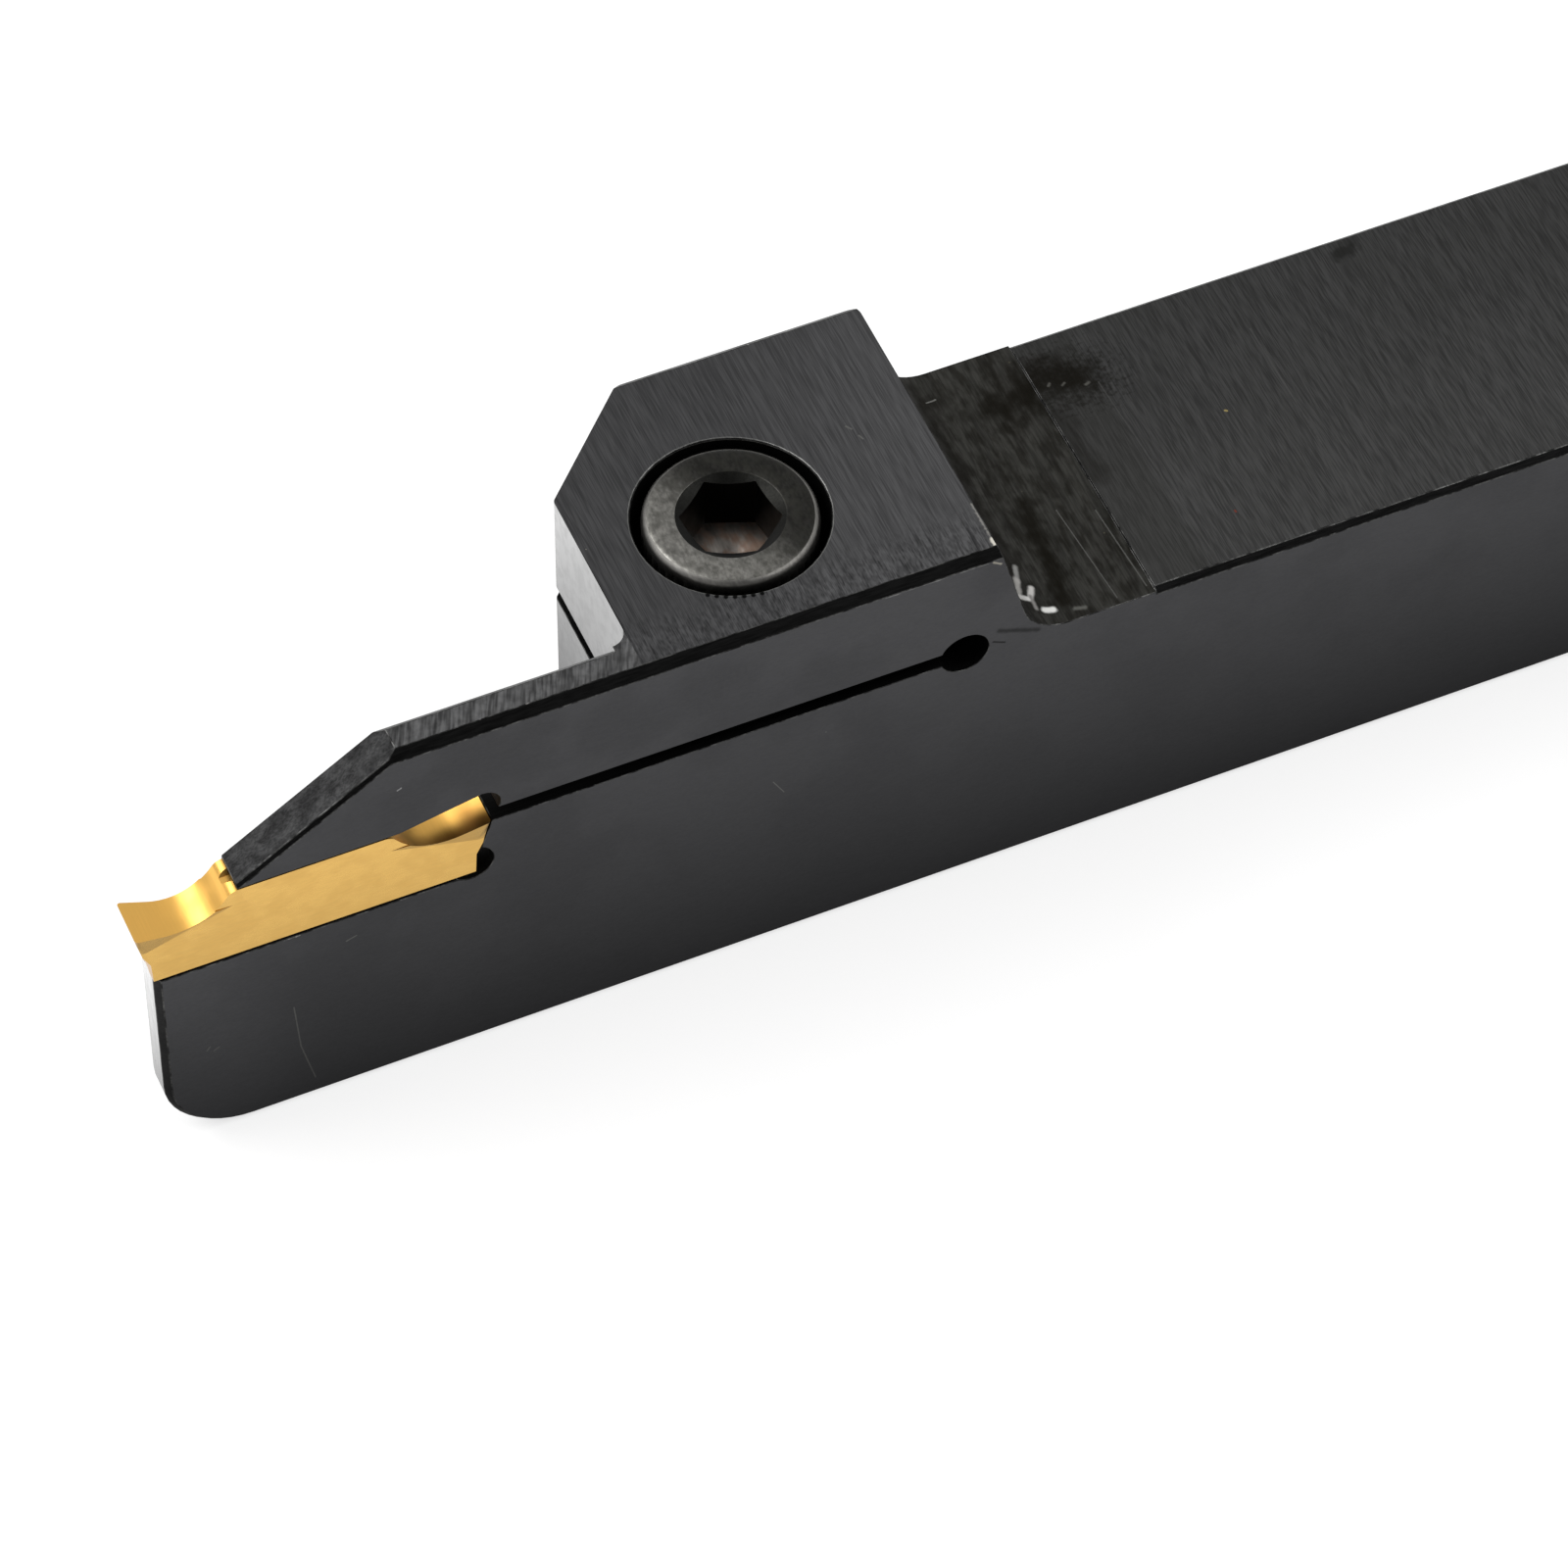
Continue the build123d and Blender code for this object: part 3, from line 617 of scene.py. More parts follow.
# Painted highlight: the rounding of the counterbore's mouth takes a light colour for the highlight along
# it.
BORE_RIM_HIGHLIGHT = MetalFinish(
    "bore rim with painted highlight", (0.16, 0.16, 0.155), 0.3, Grain.ACROSS, 0.2, 1.0, 0.3, marks=RIM_KNURL_SHADE,
)
SCREW_TOP = MetalFinish(
    "cap screw head", (0.2, 0.195, 0.18), 0.34, Grain.ACROSS, 0.14, 0.3, 0.25, 0.003,
    blotch_sizes=(0.6, 0.6, 0.6), blotch_tone=0.5, blotch_colour=(0.03, 0.03, 0.025), speck_share=0.25,
    # Painted reflection: the head is lighter on one side and darker on the other, as a turned face
    # reflects.
    drift=Drift((-15.6, -3.2, 28.35), (-10.8, -0.7, 28.35), 0.12),
)
SCREW_SIDE = MetalFinish("cap screw side", (0.17, 0.165, 0.155), 0.4, Grain.ACROSS, 0.2, 1.0, 0.2)
# Painted shade: the socket's walls are made near black for the shadow inside the hexagon.
SOCKET_WALL_SHADE = MetalFinish("socket wall, painted shade", (0.012, 0.012, 0.011), 0.4, Grain.UPRIGHT, 0.1, 2.0, 0.2)
SOCKET_FLOOR = MetalFinish(
    "socket floor", (0.12, 0.11, 0.10), 0.36, Grain.ACROSS, 0.2, 1.0, 0.2,
    blotch_sizes=(0.6, 0.6, 0.6), blotch_tone=0.45, blotch_colour=(0.13, 0.06, 0.03),
)
GOLD = MetalFinish(
    "gold hard coating", (0.92, 0.565, 0.155), 0.3, Grain.ALONG, 0.08, 0.5, 0.03, 0.0003,
    blotch_sizes=(1.5, 1.5, 1.5), blotch_tone=0.07, blotch_colour=(0.45, 0.25, 0.06),
    speck_share=0.04, speck_size=0.05, speck_colour=(0.2, 0.12, 0.04), coat=0.05,
    marks=(
        Mark((-45.2, -10.3, 18.4), (-44.9, -10.3, 18.2), 0.1, (0.35, 0.2, 0.06), 0.8),
        Mark((-43.9, -10.3, 17.6), (-43.6, -10.3, 17.7), 0.12, (0.35, 0.2, 0.06), 0.8),
        Mark((-44.6, -10.3, 17.1), (-44.5, -10.3, 17.0), 0.08, (0.35, 0.2, 0.06), 0.8),
    ),
)
GOLD_GROOVE = MetalFinish(
    "gold chip former", (0.77, 0.44, 0.105), 0.33, Grain.ACROSS, 0.08, 2.0, 0.02, 0.0,
    blotch_sizes=(2.0, 2.0, 2.0), blotch_tone=0.05, blotch_colour=(0.45, 0.25, 0.06), speck_share=0.0,
    marks=(
        # Painted shadow and painted reflection: the rear chip former darkened where the jaw above shades it
        # and mirrors in it.
        Mark((-36.1, -11.0, 19.4), (-36.1, -6.0, 19.4), 1.2, (0.09, 0.035, 0.006), 0.1, 1.0, 0.3, 0.9),
        Mark((-35.6, -10.1, 19.0), (-33.2, -10.1, 18.85), 1.3, (0.10, 0.04, 0.008), 0.1, 1.0, 0.2, 0.9),
        Mark((-33.2, -10.1, 18.85), (-31.0, -10.0, 19.7), 1.1, (0.17, 0.075, 0.014), 0.1, 1.0, 0.2, 0.85),
        Mark((-31.6, -11.0, 19.6), (-31.6, -6.0, 19.6), 1.2, (0.34, 0.16, 0.04), 0.1, 1.0, 0.0, 0.7),
    ),
)
GOLD_END = MetalFinish("gold end flank", (0.5, 0.28, 0.075), 0.32, Grain.ACROSS, 0.08, 2.0, 0.04, 0.0002)


# -------------------------------------------------------------------- meshes


def merged_copy(node: str, name: str) -> bpy.types.Object:
    """Copy a solid's mesh as one closed skin whose flat faces are single polygons.

    Args:
        node: The solid to copy.
        name: The new object's name.

    Returns:
        The new object, in place, in the scene.
    """
    skin = bmesh.new()
    skin.from_mesh(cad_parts[node].data)
    bmesh.ops.remove_doubles(skin, verts=skin.verts, dist=WELD_MM * MM)
    flat = math.radians(FLAT_DEGREES)
    bmesh.ops.dissolve_limit(skin, angle_limit=flat, verts=skin.verts, edges=skin.edges)
    mesh = bpy.data.meshes.new(name)
    skin.to_mesh(mesh)
    skin.free()
    for attribute in [a.name for a in mesh.attributes if a.name.startswith("custom_normal")]:
        mesh.attributes.remove(mesh.attributes[attribute])
    mesh.materials.clear()
    made = bpy.data.objects.new(name, mesh)
    bpy.context.scene.collection.objects.link(made)
    return made


def settle(made: bpy.types.Object) -> None:
    """Turn an object's modifiers into a plain mesh of its own.

    Args:
        made: The object.
    """
    bpy.context.view_layer.update()
    finished = made.evaluated_get(bpy.context.evaluated_depsgraph_get())
    mesh = bpy.data.meshes.new_from_object(finished)
    made.modifiers.clear()
    made.data = mesh


def shade_crisply(mesh: bpy.types.Mesh, sharp_degrees: float) -> None:
    """Shade a mesh smooth, but keep its sharper edges crisp.

    Args:
        mesh: The mesh.
        sharp_degrees: Edges that turn by more than this stay crisp.
    """
    mesh.shade_smooth()
    mesh.set_sharp_from_angle(angle=math.radians(sharp_degrees))


def weigh_edges(
    mesh: bpy.types.Mesh, sharp_degrees: float, crowded: Sequence[tuple[Point, float]]
) -> None:
    """Mark the edges that are to be rounded.

    Args:
        mesh: The mesh to mark.
        sharp_degrees: Edges that turn by more than this are rounded.
        crowded: Places in millimetres, each with a reach, whose edges are too short to round.
    """
    mesh.attributes.new("bevel_weight_edge", "FLOAT", "EDGE")
    skin = bmesh.new()
    skin.from_mesh(mesh)
    weight = skin.edges.layers.float["bevel_weight_edge"]
    for edge in skin.edges:
        turn = math.degrees(edge.calc_face_angle(0.0))
        near = any(
            all((vert.co / MM - Vector(place)).length < reach for vert in edge.verts)
            for place, reach in crowded
        )
        edge[weight] = float(turn > sharp_degrees and not near)
    skin.to_mesh(mesh)
    skin.free()


def round_edges(
    made: bpy.types.Object, width_mm: float, slot: int = -1, crowded: Sequence[tuple[Point, float]] = ()
) -> None:
    """Round every sharp edge a little, inside the mesh's own box, and settle the mesh.

    Args:
        made: The object to work on.
        width_mm: Width of the rounding.
        slot: Material slot of the rounding, or -1 for that of the faces beside it.
        crowded: Places in millimetres, each with a reach, whose edges are too short to round.
    """
    places = [vert.co.copy() for vert in made.data.vertices]
    low = Vector(min(place[axis] for place in places) for axis in range(3))
    high = Vector(max(place[axis] for place in places) for axis in range(3))
    weigh_edges(made.data, ROUNDED_DEGREES, crowded)
    for polygon in made.data.polygons:
        polygon.use_smooth = True
    rounding = made.modifiers.new("rounding", "BEVEL")
    rounding.width = width_mm * MM
    rounding.segments = ROUNDING_SEGMENTS
    rounding.limit_method = "WEIGHT"
    rounding.use_clamp_overlap = False
    rounding.material = slot
    flats = made.modifiers.new("flat faces stay flat", "WEIGHTED_NORMAL")
    flats.keep_sharp = True
    settle(made)
    for vert in made.data.vertices:
        vert.co = Vector(min(max(vert.co[axis], low[axis]), high[axis]) for axis in range(3))


def ribbed_sleeve_tree() -> bpy.types.NodeTree:
    """Build the Geometry Nodes tree for a sleeve with ribs or a thread round it.

    A grid is wrapped round an upright axis. Ribs run straight up; turns make
    them climb as a right-hand thread. They fade out at both ends.

    Returns:
        The tree, with its sizes as named inputs.
    """
    flank_share = 0.7
    tree = bpy.data.node_groups.new("Ribbed sleeve", "GeometryNodeTree")
    add_socket = tree.interface.new_socket
    lengths = {"Radius": 0.005, "Depth": 0.0001, "Base": 0.0, "Height": 0.005}
    shares = {"Turns": 0.0, "Fade": 0.1, "Crest": 0.15}
    for label, value in (lengths | shares).items():
        add_socket(name=label, in_out="INPUT", socket_type="NodeSocketFloat").default_value = value
    for label, value in {"Ribs": 1, "Around": 192, "Along": 20}.items():
        add_socket(name=label, in_out="INPUT", socket_type="NodeSocketInt").default_value = value
    add_socket(name="Centre", in_out="INPUT", socket_type="NodeSocketVector")
    add_socket(name="Finish", in_out="INPUT", socket_type="NodeSocketMaterial")
    add_socket(name="Sleeve", in_out="OUTPUT", socket_type="NodeSocketGeometry")
    sheet = NodeSheet(tree)
    source = sheet.add("NodeGroupInput").outputs
    around = sheet.math("ADD", source["Around"], 1.0)
    along = sheet.math("ADD", source["Along"], 1.0)
    size = {"Size X": 1.0, "Size Y": 1.0, "Vertices X": around, "Vertices Y": along}
    grid = sheet.add("GeometryNodeMeshGrid", size).outputs[0]
    flat = sheet.parts(sheet.add("GeometryNodeInputPosition").outputs[0])
    turn = sheet.math("ADD", flat[0], 0.5)
    rise = sheet.math("ADD", flat[1], 0.5)
    climb = sheet.math("MULTIPLY", rise, source["Turns"])
    phase = sheet.math("SUBTRACT", sheet.math("MULTIPLY", turn, source["Ribs"]), climb)
    wave = sheet.math("MULTIPLY", sheet.math("PINGPONG", phase, 0.5), 2.0)
    above = sheet.math("SUBTRACT", wave, source["Crest"])
    crested = sheet.math("DIVIDE", above, flank_share, clamp=True)
    end = sheet.math("MINIMUM", rise, sheet.math("SUBTRACT", 1.0, rise))
    ends = sheet.math("DIVIDE", end, source["Fade"], clamp=True)
    cut = sheet.math("MULTIPLY", sheet.math("MULTIPLY", crested, ends), source["Depth"])
    radius = sheet.math("SUBTRACT", source["Radius"], cut)
    angle = sheet.math("MULTIPLY", turn, math.tau)
    x = sheet.math("MULTIPLY", sheet.math("COSINE", angle), radius)
    y = sheet.math("MULTIPLY", sheet.math("SINE", angle), radius)
    z = sheet.math("ADD", source["Base"], sheet.math("MULTIPLY", rise, source["Height"]))
    round_axis = sheet.add("ShaderNodeCombineXYZ", {0: x, 1: y, 2: z}).outputs[0]
    wrapped = sheet.vector("ADD", round_axis, source["Centre"])
    placed = sheet.add("GeometryNodeSetPosition", {"Geometry": grid, "Position": wrapped}).outputs[0]
    weld = {"Geometry": placed, "Distance": WELD_MM / 2 * MM}
    closed = sheet.add("GeometryNodeMergeByDistance", weld).outputs[0]
    plain = sheet.add("GeometryNodeRealizeInstances", {"Geometry": closed}).outputs[0]
    finish = {"Geometry": plain, "Material": source["Finish"]}
    dressed = sheet.add("GeometryNodeSetMaterial", finish).outputs[0]
    sheet.add("NodeGroupOutput", {0: dressed})
    return tree


@dataclass(frozen=True)
class Sleeve:
    """Sizes of one ribbed or threaded sleeve round an upright axis."""

    name: str
    radius_mm: float
    depth_mm: float
    base_mm: float
    height_mm: float
    rings: int
    ribs: int = 1
    turns: float = 0.0
    fade: float = 0.1
    crest: float = 0.15
    around: int = 192

    def build(
        self, tree: bpy.types.NodeTree, centre_mm: tuple[float, float], finish: bpy.types.Material
    ) -> bpy.types.Object:
        """Make the sleeve with the tree, as a plain mesh.

        Args:
            tree: The ribbed sleeve's tree.
            centre_mm: Where the axis stands.
            finish: The material.

        Returns:
            The sleeve, its modifier removed.
        """
        made = bpy.data.objects.new(self.name, bpy.data.meshes.new(self.name))
        bpy.context.scene.collection.objects.link(made)
        modifier = made.modifiers.new("ribs", "NODES")
        modifier.node_group = tree
        lengths = {"Radius": self.radius_mm, "Depth": self.depth_mm}
        lengths |= {"Base": self.base_mm, "Height": self.height_mm}
        values: dict[str, object] = {label: length * MM for label, length in lengths.items()}
        values |= {"Ribs": self.ribs, "Turns": self.turns, "Fade": self.fade, "Crest": self.crest}
        values |= {"Around": self.around, "Along": self.rings, "Finish": finish}
        values["Centre"] = (centre_mm[0] * MM, centre_mm[1] * MM, 0.0)
        for item in tree.interface.items_tree:
            if item.name in values:
                modifier[item.identifier] = values[item.name]
        settle(made)
        return made


def ride_as(
    made: bpy.types.Object, body: Body, node: str | None = None
) -> bpy.types.Object:
    """Fasten a piece to its body.

    Args:
        made: The piece.
        body: The body that it moves with.
        node: The solid that it stands for, if any.

    Returns:
        The piece.
    """
    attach(made, body.value)
    if node:
        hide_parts(node)
    return made


@dataclass
class HolderBody:
    """The steel bar with its head, blade, slit and pocket, and the thread in its tapped hole."""

    head_height_mm: float = HEAD_LEVEL_MM
    head_front_mm: float = -21.3
    blade_front_end_mm: float = -40.0
    pocket_front_mm: float = -50.6
    pocket_rear_mm: float = -30.4
    pocket_levels_mm: tuple[float, float] = (15.0, 22.6)
    slit_level_mm: float = 20.2
    slit_reach_mm: float = 1.48
    slit_lead_mm: float = 2.0
    runout_end_mm: float = 9.9
    slack_mm: float = 0.1
    screw_axis_mm: tuple[float, float] = SCREW_AXIS_MM
    counterbore_radius_mm: float = 5.6
    edge_rounding_mm: float = 0.05
    rim_rounding_mm: float = 0.14
    thread_casing_mm: float = 3.3
    thread_sharp_degrees: float = 40.0
    crowded_corners: tuple[tuple[Point, float], ...] = (
        ((-0.05, 9.4, 28.1), 0.9),
        ((2.6, 10.0, 19.9), 0.5),
    )
    thread: Sleeve = Sleeve("tapped_thread", 2.99, 0.5, 0.7, 18.8, 114, turns=18.8, fade=0.02)

    def zones(self) -> list[tuple[MetalFinish, Zone]]:
        """Sort the faces by finish.

        Returns:
            Each finish with the test of a face's centre, in millimetres, and normal that
            finds its faces, in the order to ask them.
        """

        def in_bore(c: Vector, n: Vector) -> bool:
            """Tell whether a face is inside the counterbore or the hole below it.

            Args:
                c: The face's centre in millimetres.
                n: The face's normal.

            Returns:
                True if it is.
            """
            away = math.hypot(c.x - self.screw_axis_mm[0], c.y - self.screw_axis_mm[1])
            inside = away < self.counterbore_radius_mm + 0.02
            return inside and (abs(n.z) < 0.5 or self.slack_mm < c.z < self.head_height_mm - self.slack_mm)

        def in_slit(c: Vector, n: Vector) -> bool:
            """Tell whether a face is inside the slit or its end hole.

            Args:
                c: The face's centre in millimetres.
                n: The face's normal.

            Returns:
                True if it is.
            """
            level = abs(c.z - self.slit_level_mm) < self.slit_reach_mm
            return level and self.pocket_rear_mm - self.slit_lead_mm < c.x < 0 and abs(n.y) < 0.9

        def in_pocket(c: Vector, n: Vector) -> bool:
            """Tell whether a face is inside the insert's pocket.

            Args:
                c: The face's centre in millimetres.
                n: The face's normal.

            Returns:
                True if it is.
            """
            floor, roof = self.pocket_levels_mm
            along = self.pocket_front_mm < c.x < self.pocket_rear_mm
            return along and floor < c.z < roof and abs(n.y) < 0.9

        def milled(c: Vector, n: Vector) -> bool:
            """Tell whether a face is a ground front face, and not the toe's near bevel.

            Args:
                c: The face's centre in millimetres.
                n: The face's normal.

            Returns:
                True if it is.
            """
            forward = n.x < -0.6 and abs(n.z) < 0.1 and c.x < 0
            return forward and (n.y > -0.5 or c.x > self.blade_front_end_mm)

        def in_runout(c: Vector, n: Vector) -> bool:
            """Tell whether a face is in the runout or on the wall that rises from it.

            Args:
                c: The face's centre in millimetres.
                n: The face's normal.

            Returns:
                True if it is.
            """
            return n.z > -0.01 and 0 < c.x < self.runout_end_mm + 0.01 and abs(n.y) < 0.1

        return [
            (INSIDE_SHADE, in_bore),
            (INSIDE_SHADE, in_slit),
            (INSIDE_SHADE, in_pocket),
            (MILLED_FRONT_SHEEN, milled),
            (STEP, lambda c, n: n.x < -0.9 and abs(c.x - self.runout_end_mm) < self.slack_mm),
            (RAMP, lambda c, n: n.x < -0.5 and n.z > 0.8),
            (RUNOUT, in_runout),
            (BLADE_TOP, lambda c, n: n.z > 0.99 and c.x < self.head_front_mm),
            (HEAD_TOP, lambda c, n: n.z > 0.99 and c.x < 0),
            (SHANK_TOP, lambda c, n: n.z > 0.99),
            (SIDE, lambda c, n: abs(n.y) > 0.99 or n.z < -0.99 or n.x > 0.99),
            (BEVEL, lambda c, n: True),
        ]

    def split_top(self, made: bpy.types.Object) -> None:
        """Cut the top face where the blade meets the head, so that each takes its own finish.

        Args:
            made: The bar.
        """
        skin = bmesh.new()
        skin.from_mesh(made.data)
        level = self.head_height_mm * MM * 0.999
        upward = [face for face in skin.faces if face.normal.z > 0.99]
        faces = [face for face in upward if face.calc_center_median().z > level]
        edges = {edge for face in faces for edge in face.edges}
        verts = {vert for face in faces for vert in face.verts}
        place = (self.head_front_mm * MM, 0.0, 0.0)
        top = [*faces, *edges, *verts]
        bmesh.ops.bisect_plane(skin, geom=top, plane_co=place, plane_no=(1.0, 0.0, 0.0))
        skin.to_mesh(made.data)
        skin.free()

    def round_rim(self, made: bpy.types.Object, slot: int) -> None:
        """Round the mouth of the counterbore, where the screw's head rubs past.

        Args:
            made: The bar.
            slot: Material slot of the rounding.
        """
        skin = bmesh.new()
        skin.from_mesh(made.data)
        axis = Vector(self.screw_axis_mm)

        def on_rim(vert: bmesh.types.BMVert) -> bool:
            """Tell whether a corner is on the mouth of the counterbore."""
            beside = (vert.co.xy / MM - axis).length - self.counterbore_radius_mm
            return max(abs(beside), abs(vert.co.z / MM - self.head_height_mm)) < 0.01

        rim = [edge for edge in skin.edges if all(on_rim(vert) for vert in edge.verts)]
        offset = self.rim_rounding_mm * MM
        rounding = {"offset": offset, "segments": ROUNDING_SEGMENTS, "profile": 0.5}
        bmesh.ops.bevel(skin, geom=rim, affect="EDGES", material=slot, **rounding)
        skin.to_mesh(made.data)
        skin.free()

    def tapped_thread(self, tree: bpy.types.NodeTree, finish: bpy.types.Material) -> bpy.types.Object:
        """Make the thread of the tapped hole as a closed ring, its outer wall buried in the steel.

        Args:
            tree: The ribbed sleeve's tree.
            finish: The material.

        Returns:
            The thread.
        """
        made = self.thread.build(tree, self.screw_axis_mm, finish)
        skin = bmesh.new()
        skin.from_mesh(made.data)
        axis = Vector(self.screw_axis_mm) * MM
        loop = [edge for edge in skin.edges if edge.is_boundary]
        wall = bmesh.ops.extrude_edge_only(skin, edges=loop)["geom"]
        for vert in (item for item in wall if isinstance(item, bmesh.types.BMVert)):
            outward = (vert.co.xy - axis).normalized() * self.thread_casing_mm * MM
            vert.co.xy = axis + outward
        outer = [edge for edge in skin.edges if edge.is_boundary]
        bmesh.ops.bridge_loops(skin, edges=outer)
        bmesh.ops.recalc_face_normals(skin, faces=skin.faces)
        skin.to_mesh(made.data)
        skin.free()
        shade_crisply(made.data, self.thread_sharp_degrees)
        return made

    def build(self, groups: ShadeGroups, tree: bpy.types.NodeTree) -> list[bpy.types.Object]:
        """Build and dress the bar.

        Args:
            groups: The shared shader groups.
            tree: The ribbed sleeve's tree.

        Returns:
            The finished pieces.
        """
        made = merged_copy("holder_body", "body")
        self.split_top(made)
        zones = self.zones()
        finishes = list(dict.fromkeys(finish for finish, _ in zones)) + [WORN_EDGE, BORE_RIM_HIGHLIGHT]
        for finish in finishes:
            made.data.materials.append(finish.material(groups))
        for polygon in made.data.polygons:
            centre = Vector(polygon.center) / MM
            finish = next(f for f, test in zones if test(centre, polygon.normal))
            polygon.material_index = finishes.index(finish)
        self.round_rim(made, finishes.index(BORE_RIM_HIGHLIGHT))
        round_edges(made, self.edge_rounding_mm, finishes.index(WORN_EDGE), self.crowded_corners)
        thread = self.tapped_thread(tree, made.data.materials[finishes.index(INSIDE_SHADE)])
        return [
            ride_as(made, Body.HOLDER, "holder_body"),
            ride_as(thread, Body.HOLDER),
        ]


@dataclass
class GroovingInsert:
    """The double-ended insert."""

    sharp_degrees: float = 20.0
    groove_rise: float = 0.3
    end_facing: float = 0.7
    side_facing: float = 0.95

    def build(self, groups: ShadeGroups, tree: bpy.types.NodeTree) -> list[bpy.types.Object]:
        """Dress the insert, whose edges are ground sharp.

        Args:
            groups: The shared shader groups.
            tree: The ribbed sleeve's tree, which the insert has no use for.

        Returns:
            The insert, in a list.
        """
        made = merged_copy("grooving_insert", "insert")
        finishes = [GOLD, GOLD_GROOVE, GOLD_END]
        for finish in finishes:
            made.data.materials.append(finish.material(groups))
        for polygon in made.data.polygons:
            if polygon.normal.z > self.groove_rise:
                polygon.material_index = finishes.index(GOLD_GROOVE)
            elif abs(polygon.normal.x) > self.end_facing:
                polygon.material_index = finishes.index(GOLD_END)
        shade_crisply(made.data, self.sharp_degrees)
        skin = bmesh.new()
        skin.from_mesh(made.data)
        for edge in skin.edges:
            if any(abs(face.normal.y) > self.side_facing for face in edge.link_faces):
                edge.smooth = False
        skin.to_mesh(made.data)
        skin.free()
        return [ride_as(made, Body.INSERT, "grooving_insert")]


class ScrewFinish(Enum):
    """The finishes of the screw, in the order of its material slots."""

    TOP = SCREW_TOP
    SIDE = SCREW_SIDE
    WALL = SOCKET_WALL_SHADE
    FLOOR = SOCKET_FLOOR


@dataclass(frozen=True)
class Ring:
    """One ring of the screw: its height, its radius and the finish of the strip above it."""

    height_mm: float
    radius_mm: float
    finish: ScrewFinish
    hexagon: bool = False


